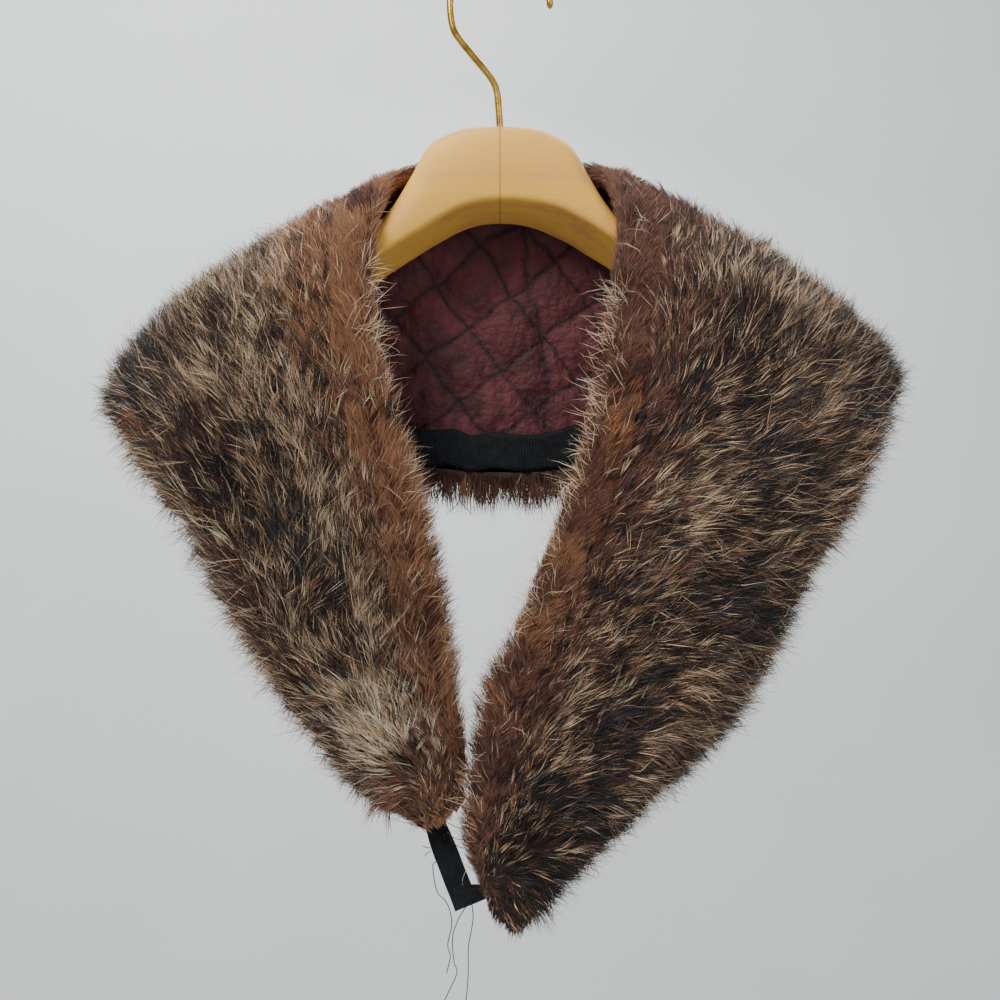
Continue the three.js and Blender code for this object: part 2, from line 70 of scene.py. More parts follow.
# %% Camera
camera_lens = bpy.data.cameras.new("camera")
camera_lens.sensor_width = 36
camera_lens.lens = 41.54
camera = bpy.data.objects.new("camera", camera_lens)
camera.location = (0, -0.6, -0.2808)
camera.rotation_euler = (math.radians(90), 0, 0)
bpy.context.scene.collection.objects.link(camera)
bpy.context.scene.camera = camera
print("camera at", tuple(camera.location))

# %% [markdown]
# ## Colours
# Colours are read as screen values, and the shaders work in linear light, so each one passes
# through the same small conversion.

# %% Colours
MM = 0.001


def linear(screen_colour, brightness=1.0):
    """A colour written as six hex digits, in linear light."""
    parts = [int(screen_colour[i : i + 2], 16) / 255 for i in (0, 2, 4)]
    light = [c / 12.92 if c <= 0.04045 else ((c + 0.055) / 1.055) ** 2.4 for c in parts]
    return (*[min(1.0, c * brightness) for c in light], 1.0)


print("cream in linear light", [round(c, 3) for c in linear("d8c79e")])

# %% [markdown]
# ## A finish from nodes
# Every finish is a tree of a few nodes that ends in one shader. Small helpers keep those trees
# short to write: they add a node with its values and links, a sum, a soft pattern, a row of
# colours or a mix, and the last one starts a finish.


# %% Node helpers
def add(tree, kind, inputs=None, **settings):
    """One node with its settings, and its inputs set from values or linked from sockets."""
    made = tree.nodes.new(kind)
    for name, value in settings.items():
        setattr(made, name, value)
    for name, value in (inputs or {}).items():
        if isinstance(value, bpy.types.NodeSocket):
            tree.links.new(value, made.inputs[name])
        else:
            made.inputs[name].default_value = value
    return made


def maths(tree, operation, first, second=None):
    """The result of one sum on two sockets or numbers."""
    inputs = {0: first} if second is None else {0: first, 1: second}
    return add(tree, "ShaderNodeMath", inputs, operation=operation).outputs[0]


def noise(tree, place, scale, detail):
    """A soft random pattern at a place, from 0 to 1."""
    inputs = {"Vector": place, "Scale": scale, "Detail": detail}
    return add(tree, "ShaderNodeTexNoise", inputs).outputs["Fac"]


def ramp(tree, factor, stops):
    """Colours picked along a factor, from (place, colour) stops."""
    made = add(tree, "ShaderNodeValToRGB", {"Fac": factor})
    row = made.color_ramp.elements
    while len(row) < len(stops):
        row.new(0.5)
    for element, (place, colour) in zip(row, stops):
        element.position, element.color = place, colour
    return made.outputs["Color"]


def blend_colours(tree, factor, first, second, way="MIX"):
    """Two colours mixed by a factor."""
    made = add(tree, "ShaderNodeMix", data_type="RGBA", blend_type=way)
    for place, value in ((0, factor), (6, first), (7, second)):
        if isinstance(value, bpy.types.NodeSocket):
            tree.links.new(value, made.inputs[place])
        else:
            made.inputs[place].default_value = value
    return made.outputs[2]


def start_finish(name, roughness, **sockets):
    """A new material with its shader's constant values set on their own sockets."""
    finish = bpy.data.materials.new(name)
    finish.use_nodes = True
    shader = finish.node_tree.nodes["Principled BSDF"]
    shader.inputs["Roughness"].default_value = roughness
    for socket, value in sockets.items():
        shader.inputs[socket.replace("_", " ")].default_value = value
    return finish, finish.node_tree, shader


print("node helpers ready")

# %% [markdown]
# ## The skin that every layer follows
# A stole is cut from flat pieces, but it hangs as one curved skin. Here that skin is described by
# 29 stations along its length, from the left tip over the back to the right tip. Each has a point
# on the neck edge, one in the middle and one on the hem, and the depth of the pile. Pelt, lining
# and ribbon are all laid at their own height over this one skin, so that they can never cross.

# %% Stations of the skin
STATIONS = np.array(
    [
        (-18, -14, -429, -29, -15, -440, -41, -10, -447, 7),
        (-19, -18, -402, -49, -20, -409, -79, -12, -414, 13),
        (-26, -24, -366, -67, -25, -372, -107, -14, -377, 15),
        (-31, -30, -330, -82, -30, -335, -131, -16, -339, 16),
        (-39, -35, -291, -97, -35, -293, -154, -18, -296, 17),
        (-52, -37, -247, -114, -38, -254, -176, -18, -265, 18),
        (-61, -37, -208, -125, -38, -222, -190, -15, -243, 18),
        (-64, -32, -174, -132, -34, -197, -193, -8, -235, 18),
        (-62.5, -23, -143, -134, -21, -183, -192, 0, -232, 17),
        (-57, -8, -119, -128, -6, -175, -190, 4, -231, 17),
        (-47, 10, -107, -122, 12, -176, -184, 12, -234, 18),
        (-34, 21, -103, -98, 20, -174, -158, 20, -247, 18),
        (-17, 23.5, -99, -54, 25, -181, -88, 25, -268, 18),
        (0, 24, -98, 0, 27, -188, 0, 26, -279, 18),
        (17, 23.5, -99, 54, 25, -181, 88, 25, -268, 18),
        (32, 21, -103, 98, 20, -173, 160, 20, -247, 20),
        (46, 10, -106, 122, 12, -176.5, 186, 12, -233, 23),
        (56, -8, -117, 128, -6, -175.5, 194, 4, -229, 25),
        (60, -23, -141, 134, -21, -183.5, 197, 0, -230, 23),
        (57, -32, -174, 132, -35, -197, 197, -8, -233, 20),
        (50, -38, -218, 126, -40, -227, 190, -14, -243, 19),
        (42, -40, -254, 116, -42, -257, 181, -17, -262, 19),
        (31, -39, -288, 103, -40, -287, 168, -18, -287, 18),
        (19, -37, -320, 87, -38, -318, 149, -19, -317, 18),
        (7, -34, -349, 73, -35, -351, 133, -19, -352, 17),
        (-6, -30, -382, 55, -31, -385, 110, -18, -388, 16),
        (-13, -25, -420, 33, -27, -423, 72, -16, -425, 15),
        (-15, -20, -454, 12, -22, -460, 33, -14, -465, 12),
        (-7, -16, -480, 1, -17, -489, 9, -12, -497, 7),
    ],
    float,
)
LEFT_TIP, LEFT_RIDGE, MIDDLE, RIGHT_RIDGE, RIGHT_TIP = 0.0, 9.0, 13.0, 17.0, 28.0
SEAM = 0.02
print(len(STATIONS), "stations")


# %% A smooth line through the stations
def smooth_line(stations, along):
    """Each column of the stations, read at any place along them on a smooth curve."""
    row = np.vstack([2 * stations[0] - stations[1], stations, 2 * stations[-1] - stations[-2]])
    along = np.clip(np.asarray(along, float), 0, len(stations) - 1)
    start = np.minimum(along.astype(int), len(stations) - 2)
    part = (along - start)[..., None]
    before, here, following, beyond = (row[start + k] for k in range(4))
    leaving, arriving = (following - before) / 2, (beyond - here) / 2
    return (
        here
        + leaving * part
        + (3 * (following - here) - 2 * leaving - arriving) * part**2
        + (2 * (here - following) + leaving + arriving) * part**3
    )


def unit(vectors):
    """The same directions, each one long."""
    return vectors / np.maximum(np.linalg.norm(vectors, axis=-1, keepdims=True), 1e-9)


half_way = smooth_line(STATIONS[:, :3], np.array([0.5]))[0]
print("half way to the second station, mm", half_way.round(1))


# %% Points over the skin
def skin_point(along, across):
    """A point of the skin in millimetres, across running from neck 0 to hem 1."""
    row = smooth_line(STATIONS, along)
    across = np.asarray(across, float)[..., None]
    neck, middle, hem = row[..., 0:3], row[..., 3:6], row[..., 6:9]
    pulled = 2 * middle - 0.5 * neck - 0.5 * hem
    return (1 - across) ** 2 * neck + 2 * across * (1 - across) * pulled + across**2 * hem


def skin_normal(along, across):
    """The way out of the skin, to the pile."""
    near, far = np.maximum(along - 0.02, 0), np.minimum(along + 0.02, RIGHT_TIP)
    lengthways = skin_point(far, across) - skin_point(near, across)
    crossways = skin_point(along, across + 0.02) - skin_point(along, across - 0.02)
    return unit(np.cross(lengthways, crossways))


def pile_depth(along):
    """How deep the fur is here, in millimetres."""
    return np.interp(along, np.arange(len(STATIONS)), STATIONS[:, 9])


def over_skin(along, across, height):
    """Points at a height in millimetres over the skin."""
    return skin_point(along, across) + skin_normal(along, across) * np.asarray(height)[..., None]


print("middle of the back", skin_point(np.array([MIDDLE]), np.array([0.5]))[0].round(1))

# %% [markdown]
# ## Laying a cut piece
# Cloth and pelt start as a flat cut. A grid stands for the cut, each of its points is carried on
# to the skin, and the flat place of every point is kept as a map in millimetres, so that ribs and
# stitches can follow the cloth. Thickness is given to the laid sheet in one operation. The cut is
# then stated as the length and width of the cloth that it needs, a little more than those along
# its middle, because its outline is curved.


# %% Lay a cut piece on the skin
def cut_grid(columns, rows, place):
    """A flat grid carried to its place; place takes the two flat shares and gives points in mm."""
    cut = bmesh.new()
    bmesh.ops.create_grid(cut, x_segments=columns, y_segments=rows, size=0.5)
    flat = np.array([v.co[:2] for v in cut.verts]) + 0.5
    laid = place(flat[:, 0], flat[:, 1])
    cloth = cut.loops.layers.uv.new("cloth")
    length = np.linalg.norm(np.diff(place(np.linspace(0, 1, 60), np.full(60, 0.5)), axis=0), axis=1)
    width = np.linalg.norm(np.diff(place(np.full(60, 0.5), np.linspace(0, 1, 60)), axis=0), axis=1)
    size = (length.sum(), width.sum())
    cut.verts.index_update()
    for face in cut.faces:
        for loop in face.loops:
            share = flat[loop.vert.index]
            loop[cloth].uv = (share[0] * size[0] * MM, share[1] * size[1] * MM)
    for vert, point in zip(cut.verts, laid):
        vert.co = Vector(point * MM)
    return cut, size


def finish_piece(name, made, finish, stands_for=()):
    """The object for a finished mesh, riding on the hanger and painted."""
    if isinstance(made, bmesh.types.BMesh):
        mesh = bpy.data.meshes.new(name)
        made.to_mesh(mesh)
        made.free()
    else:
        mesh = made
    mesh.polygons.foreach_set("use_smooth", [True] * len(mesh.polygons))
    mesh.materials.append(finish)
    piece = bpy.data.objects.new(name, mesh)
    bpy.context.scene.collection.objects.link(piece)
    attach(piece, "root")
    if stands_for:
        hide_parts(*stands_for)
    return piece


def thicken(cut, thickness):
    """A sheet given its thickness in millimetres, away from its face, with its faces outwards."""
    bmesh.ops.solidify(cut, geom=cut.faces[:], thickness=thickness * MM)
    bmesh.ops.recalc_face_normals(cut, faces=cut.faces[:])
    return cut


def face_out(cut, outwards):
    """Turns the sheet's face to the side that a rough outward direction names."""
    cut.normal_update()
    agree = sum(face.normal.dot(Vector(outwards(face.calc_center_median()))) for face in cut.faces)
    if agree < 0:
        bmesh.ops.reverse_faces(cut, faces=cut.faces[:])
    return cut


def away_from_wearer(point):
    """Roughly outwards from the shoulders that the stole goes round."""
    return Vector((point.x * 0.4, point.y, (point.z + 0.25) * 0.4))


def to_wearer(point):
    """Roughly inwards, the way the lining faces."""
    return -away_from_wearer(point)


def to_front(point):
    """Straight to the front."""
    return Vector((0, -1, 0))


# %% [markdown]
# ## The pelt under the hair
# Long fur hides its leather, but a dark gap between two locks shows what lies beneath, so the
# pelt is a real sheet with its own colour. It stays low, because the hair makes up the other half
# of the depth. It rounds the hem and turns a little way under it, as a furrier turns the edge.

# %% The pelt's path from neck to hem
TROUGHS = (
    (6.3, 0.82, 1.6, 0.07, 4.5),
    (4.6, 0.62, 1.3, 0.06, 5),
    (2.8, 0.45, 1, 0.08, 3.5),
    (7.6, 0.4, 1.1, 0.09, 2.5),
    (10.8, 0.6, 1.2, 0.08, 3.5),
    (12.6, 0.42, 1.4, 0.07, 3.5),
    (14.6, 0.7, 1.3, 0.08, 4),
    (18.9, 0.3, 1.5, 0.1, 5.5),
    (20.6, 0.46, 1.2, 0.07, 5),
    (21.7, 0.8, 1.6, 0.07, 4.5),
    (23.8, 0.58, 1.4, 0.08, 3.5),
    (25.8, 0.36, 1.1, 0.08, 3),
)
PELT_PATH = (
    (0.135, 0.38, 0),
    (0.2, 0.46, 0),
    (0.3, 0.56, 0),
    (0.41, 0.63, 0),
    (0.55, 0.68, 0),
    (0.69, 0.69, 0),
    (0.82, 0.65, 0),
    (0.9, 0.52, 0),
    (0.945, 0.34, 0),
    (0.965, 0.12, 0),
    (0.965, 0, -2),
    (0.95, 0, -3.4),
    (0.93, 0, -3.6),
)
PELT_TURN, PELT_THICKNESS = 0.86, 1.0


def along_path(path, share):
    """Across, pile share and fixed height at a share of the way along a path."""
    table = np.array(path, float)
    walked = np.hypot(np.diff(table[:, 0]) * 130, np.diff(table[:, 1]) * 17 + np.diff(table[:, 2]))
    walked = np.concatenate([[0], np.cumsum(walked)])
    return [np.interp(share * walked[-1], walked, table[:, k]) for k in range(3)]


def trough_depth(along, across):
    """The partings and hollows combed into the fur."""
    return sum(
        deep * np.exp(-(((along - a) / long) ** 2) - ((across - c) / wide) ** 2)
        for a, c, long, wide, deep in TROUGHS
    )


def pelt_point(along, share):
    """A point of the pelt's outer face."""
    across, pile_share, fixed = along_path(PELT_PATH, share)
    height = pile_share * (pile_depth(along) - trough_depth(along, across)) + fixed
    return over_skin(along, across, height)


print("pelt at the middle of the back, mm", pelt_point(np.array([MIDDLE]), np.array([0.5]))[0].round(1))


# %% [markdown]
# The leather is a dark warm brown with lighter patches, which is what shows at a parting.

# %% Finish of the pelt
pelt_finish, pelt_tree, pelt_shader = start_finish("fur_leather", 0.85, Sheen_Weight=0.2)
pelt_place = add(pelt_tree, "ShaderNodeTexCoord").outputs["Object"]
pelt_patches = noise(pelt_tree, pelt_place, 60.0, 4.0)
pelt_tone = ramp(
    pelt_tree,
    pelt_patches,
    [(0.3, linear("1e1512")), (0.5, linear("33221b")), (0.7, linear("4c3225"))],
)
pelt_tree.links.new(pelt_tone, pelt_shader.inputs["Base Color"])
pelt_fine = noise(pelt_tree, pelt_place, 900.0, 2.0)
pelt_bump = add(pelt_tree, "ShaderNodeBump", {"Height": pelt_fine, "Distance": 0.0008})
pelt_tree.links.new(pelt_bump.outputs["Normal"], pelt_shader.inputs["Normal"])
print(pelt_finish.name, len(pelt_tree.nodes), "nodes")

# %% Lay the three pelts
PELT_RUNS = (
    ("pelt_left", LEFT_TIP, LEFT_RIDGE - SEAM, 64, "fur_front_left"),
    ("pelt_back", LEFT_RIDGE + SEAM, RIGHT_RIDGE - SEAM, 64, "fur_back"),
    ("pelt_right", RIGHT_RIDGE + SEAM, RIGHT_TIP, 76, "fur_front_right"),
)
pelts, pelt_sizes = {}, {}
for name, first, last, columns, node in PELT_RUNS:
    cut, size = cut_grid(
        columns, 24, lambda u, v, a=first, b=last: pelt_point(a + (b - a) * u, v)
    )
    face_out(cut, away_from_wearer)
    thicken(cut, PELT_THICKNESS)
    pelts[name] = finish_piece(name, cut, pelt_finish, (node,))
    pelt_sizes[name] = size
    print(name, "flat", [round(s) for s in size], "mm,", len(pelts[name].data.polygons), "faces")

# %% [markdown]
# ## The neck bands
# A narrow band of short chestnut fur is sewn along the neck edge and rolls over to the inside.
# It is laid like the pelt, on its own path: from the lining, up over the roll and out to the
# seam with the pelt.

# %% The band's path
BAND_PATH = (
    (0.048, 0, -3.0),
    (0.025, 0, -3.7),
    (0.003, 0, -2),
    (-0.006, 0, 0.6),
    (0.004, 0.12, 0),
    (0.032, 0.26, 0),
    (0.08, 0.34, 0),
    (0.128, 0.38, 0),
)
BAND_ROLL, BAND_THICKNESS = 0.45, 0.8


def band_point(along, share):
    """A point of the neck band's outer face."""
    across, pile_share, fixed = along_path(BAND_PATH, share)
    return over_skin(along, across, pile_share * pile_depth(along) + fixed)


print("band at the middle of the back, mm", band_point(np.array([MIDDLE]), np.array([0.5]))[0].round(1))

# %% Finish of the band
band_finish, band_tree, band_shader = start_finish("band_leather", 0.85, Sheen_Weight=0.2)
band_place = add(band_tree, "ShaderNodeTexCoord").outputs["Object"]
band_patches = noise(band_tree, band_place, 120.0, 3.0)
band_tone = ramp(
    band_tree,
    band_patches,
    [(0.3, linear("3a2015")), (0.5, linear("5a3422")), (0.7, linear("7a4a30"))],
)
band_tree.links.new(band_tone, band_shader.inputs["Base Color"])
band_fine = noise(band_tree, band_place, 1500.0, 2.0)
band_bump = add(band_tree, "ShaderNodeBump", {"Height": band_fine, "Distance": 0.0006})
band_tree.links.new(band_bump.outputs["Normal"], band_shader.inputs["Normal"])
print(band_finish.name, len(band_tree.nodes), "nodes")

# %% Lay the three bands
BAND_RUNS = (
    ("band_left", LEFT_TIP, LEFT_RIDGE - SEAM, 70, "neck_band_left"),
    ("band_back", LEFT_RIDGE + SEAM, RIGHT_RIDGE - SEAM, 60, "neck_band_back"),
    ("band_right", RIGHT_RIDGE + SEAM, RIGHT_TIP, 80, "neck_band_right"),
)
bands, band_sizes = {}, {}
for name, first, last, columns, node in BAND_RUNS:
    cut, size = cut_grid(
        columns, 16, lambda u, v, a=first, b=last: band_point(a + (b - a) * u, v)
    )
    face_out(cut, away_from_wearer)
    thicken(cut, BAND_THICKNESS)
    bands[name] = finish_piece(name, cut, band_finish, (node,))
    band_sizes[name] = size
    print(name, "flat", [round(s) for s in size], "mm")

# %% [markdown]
# ## Which way the hair lies
# Fur is read by its nap. On both fronts the tips point up and outwards and fan sideways at the
# hems, and round a few whorls they turn. The readings below are places on the two fronts with the
# angle of the hair there, 0 to the right and 90 straight up. Between them the direction is a
# weighted mean, and on the back the hair simply runs from the neck to the hem.

# %% Readings of the nap
NAP_LEFT = (
    (-81, -152, 120), (-115, -171, 124), (-148, -190, 130), (-177, -214, 142), (-186, -233, 165),
    (-81, -195, 112), (-120, -209, 118), (-153, -223, 120), (-72, -243, 104), (-105, -247, 114),
    (-144, -257, 124), (-172, -257, 150), (-48, -271, 96), (-81, -281, 100), (-120, -290, 110),
    (-144, -302, 132), (-38, -310, 90), (-72, -319, 93), (-105, -329, 104), (-127, -333, 145),
    (-33, -348, 88), (-62, -357, 95), (-91, -367, 110), (-111, -362, 145), (-29, -386, 95),
    (-48, -396, 112), (-72, -398, 128), (-91, -388, 155), (-29, -420, 100), (-46, -428, 205),
    (-60, -425, 200), (-62, -420, 175), (-36, -438, 110), (-24, -434, 92), (-96, -330, 40),
)
NAP_RIGHT = (
    (67, -137, 92), (96, -152, 72), (124, -171, 58), (158, -190, 46), (72, -185, 100),
    (96, -199, 60), (134, -209, 48), (172, -214, 40), (188, -228, 20), (77, -214, 84),
    (72, -243, 40), (105, -247, 26), (144, -247, 34), (172, -243, 26), (67, -281, 26),
    (96, -290, 16), (134, -290, 10), (158, -292, 0), (48, -329, 45), (77, -338, 18),
    (115, -348, -3), (130, -350, -12), (29, -367, 50), (57, -376, 28), (96, -382, -18),
    (10, -405, 58), (38, -415, 28), (67, -412, -22), (-5, -448, 70), (19, -448, 42),
    (43, -439, -15), (25, -458, -20), (2, -476, 298), (6, -488, 300), (112, -185, 100),
    (-5, -464, 84),
)


def read_nap(points, readings):
    """The direction of the hair at each point, seen from the front."""
    angle = np.radians([r[2] for r in readings])
    x, z = (np.array([r[k] for r in readings], float) for k in (0, 1))
    apart = (points[:, 0:1] - x) ** 2 + (points[:, 2:3] - z) ** 2 + 60.0
    weight = apart**-2.0
    right, up = weight @ np.cos(angle), weight @ np.sin(angle)
    return unit(np.stack([right, np.zeros_like(right), up], axis=1))


def ripple(points, size, seed):
    """A soft random value at each point, changing over about the size in millimetres."""
    draw = np.random.default_rng(seed)
    waves = unit(draw.normal(size=(9, 3))) * (2 * math.pi / size) * draw.uniform(0.6, 1.5, (9, 1))
    return np.sin(points @ waves.T + draw.uniform(0, 6.28, 9)).sum(axis=1) / 3


print(len(NAP_LEFT) + len(NAP_RIGHT), "readings of the nap")

# %% [markdown]
# ## Colours of the hair
# One lock of this fur is cream at its middle and dark at its tip, the next is all tan, and a few
# are slate or chestnut. Each kind is three colours from root to tip. A strand keeps its kind and
# shade in the sideways part of its own map, and how far along the strand a point lies in the
# other part, so that three colour ramps paint well over a hundred thousand strands.

# %% Kinds of hair
HAIR_KINDS = {
    "banded": ("2a1e1a", "d2b190", "211918"),
    "banded_tan": ("2a1e1a", "966f57", "231918"),
    "dark": ("1e1717", "271e1d", "151112"),
    "slate": ("272628", "35353a", "1a1a1e"),
    "chestnut": ("3b2219", "543024", "2e1c17"),
    "cream": ("86704f", "dcc09a", "caae8b"),
    "pale": ("ad9c82", "e4ceb0", "eadfc8"),
    "brown": ("30211b", "41291f", "221816"),
    "fox": ("5a3726", "936649", "9f7052"),
    "mahogany": ("3d2820", "6a473a", "784f40"),
    "ginger": ("744730", "9e6740", "ad764c"),
}
KIND = {kind: place for place, kind in enumerate(HAIR_KINDS)}


def kind_place(kinds, shade):
    """The sideways place on the map of each strand, from its kind and a shade of 0 to 1."""
    return (kinds + 0.15 + 0.7 * shade) / len(HAIR_KINDS)


print(len(HAIR_KINDS), "kinds of hair")


# %% Finish of the hair
hair_finish, hair_tree, hair_shader = start_finish(
    "fur_hair", 0.58, Specular_IOR_Level=0.24, Sheen_Weight=0.05, Sheen_Roughness=0.5
)
hair_map = add(hair_tree, "ShaderNodeUVMap", uv_map="OFBake").outputs["UV"]
hair_parts = add(hair_tree, "ShaderNodeSeparateXYZ", {"Vector": hair_map})
hair_kind, hair_reach = hair_parts.outputs["X"], hair_parts.outputs["Y"]
hair_tones = []
for part in range(3):
    stops = []
    for kind, tones in enumerate(HAIR_KINDS.values()):
        stops.append(((kind + 0.15) / len(HAIR_KINDS), linear(tones[part], 0.7)))
        stops.append(((kind + 0.85) / len(HAIR_KINDS), linear(tones[part], 1.22)))
    hair_tones.append(ramp(hair_tree, hair_kind, stops))
low_half = add(
    hair_tree, "ShaderNodeMapRange", {"Value": hair_reach, "From Min": 0.22, "From Max": 0.44}
).outputs["Result"]
high_half = add(
    hair_tree, "ShaderNodeMapRange", {"Value": hair_reach, "From Min": 0.54, "From Max": 0.72}
).outputs["Result"]
hair_low = blend_colours(hair_tree, low_half, hair_tones[0], hair_tones[1])
hair_colour = blend_colours(hair_tree, high_half, hair_low, hair_tones[2])
hair_tree.links.new(hair_colour, hair_shader.inputs["Base Color"])
print(len(HAIR_KINDS), "kinds of hair")

# %% [markdown]
# ## Growing hair
# Strands stand in locks: a lock has a root, a direction and a length, and its strands start round
# the root and lean together towards the tip. Each strand is a narrow blade of two or three
# lengths that ends in a point. So many blades are written as arrays in one go, because adding
# them one by one would take minutes.


# %% Frames on a laid surface
def surface_frames(place, along, share):
    """Points, outward normals, lengthways and crossways directions, and the two scales."""
    near, far = np.maximum(along - 0.02, 0), np.minimum(along + 0.02, RIGHT_TIP)
    low, high = np.maximum(share - 0.006, 0), np.minimum(share + 0.006, 1)
    lengthways = (place(far, share) - place(near, share)) / (far - near)[:, None]
    crossways = (place(along, high) - place(along, low)) / (high - low)[:, None]
    normal = unit(np.cross(lengthways, crossways))
    scales = np.linalg.norm(lengthways, axis=1), np.linalg.norm(crossways, axis=1)
    return place(along, share), normal, unit(lengthways), unit(crossways), scales


def scatter(place, first, last, low, high, amount, draw):
    """Roots spread evenly by area over a part of a laid surface."""
    edge_a, edge_s = np.linspace(first, last, 61), np.linspace(low, high, 31)
    mid_a, mid_s = (edge_a[1:] + edge_a[:-1]) / 2, (edge_s[1:] + edge_s[:-1]) / 2
    grid_a, grid_s = (g.ravel() for g in np.meshgrid(mid_a, mid_s, indexing="ij"))
    scales = surface_frames(place, grid_a, grid_s)[4]
    weight = scales[0] * scales[1]
    cell = draw.choice(len(grid_a), amount, p=weight / weight.sum())
    along = grid_a[cell] + (draw.random(amount) - 0.5) * (last - first) / 60
    share = grid_s[cell] + (draw.random(amount) - 0.5) * (high - low) / 30
    return along, share


middle_scales = surface_frames(pelt_point, np.array([MIDDLE]), np.array([0.5]))[4]
print("mm in a station and in the whole width, at the middle", [s[0].round() for s in middle_scales])


# %% Blades of hair
BLADE_STEPS = {3: np.array([0.0, 0.5, 1.0]), 4: np.array([0.0, 0.36, 0.7, 1.0])}
BLADE_TAPER = {3: np.array([1.0, 0.75]), 4: np.array([1.0, 0.95, 0.62])}


def hair_mesh(name, joints, across_way, widths, places, reaches):
    """A mesh of blades from their joints, the way across each, widths and map places."""
    amount, count = joints.shape[:2]
    steps, taper = BLADE_STEPS[count], BLADE_TAPER[count]
    half = across_way * widths[:, None, None] / 2 * taper[None, :, None]
    points = np.empty((amount, 2 * count - 1, 3))
    points[:, 0:-1:2] = joints[:, :-1] - half
    points[:, 1:-1:2] = joints[:, :-1] + half
    points[:, -1] = joints[:, -1]
    corners = [c for k in range(count - 2) for c in (2 * k, 2 * k + 1, 2 * k + 3, 2 * k + 2)]
    corners = np.array([*corners, 2 * count - 4, 2 * count - 3, 2 * count - 2])
    corner_all = (corners[None, :] + (2 * count - 1) * np.arange(amount)[:, None]).ravel()
    mesh = bpy.data.meshes.new(name)
    mesh.vertices.add(amount * (2 * count - 1))
    mesh.vertices.foreach_set("co", (points * MM).astype(np.float32).ravel())
    mesh.loops.add(amount * len(corners))
    mesh.loops.foreach_set("vertex_index", corner_all.astype(np.int32))
    mesh.polygons.add(amount * (count - 1))
    starts = 4 * np.arange(count - 1)[None, :] + len(corners) * np.arange(amount)[:, None]
    mesh.polygons.foreach_set("loop_start", starts.ravel().astype(np.int32))
    mesh.update(calc_edges=True)
    reach = np.array([*np.repeat(steps[:-1], 2), 1.0])[corners]
    lean = np.array([*([-1, 1] * (count - 1)), 0])[corners]
    flat = np.empty((amount, len(corners), 2))
    flat[:, :, 0] = places[:, None] + 0.0012 * lean[None, :]
    flat[:, :, 1] = reaches[:, 0:1] + (reaches[:, 1:2] - reaches[:, 0:1]) * reach[None, :]
    layer = mesh.uv_layers.new(name="OFBake")
    layer.data.foreach_set("uv", flat.astype(np.float32).ravel())
    return mesh


print("triangles in a blade, by its joints:", {n: 2 * n - 3 for n in BLADE_STEPS})


# %% Grow locks
def turned(direction, normal, angle):
    """A direction turned about the normal."""
    sideways = np.cross(normal, direction)
    return direction * np.cos(angle)[:, None] + sideways * np.sin(angle)[:, None]


USUAL = dict(vary=(0.72, 1.2), kept=0.7, drift=0.06, contrast=lambda points: np.ones(len(points)))


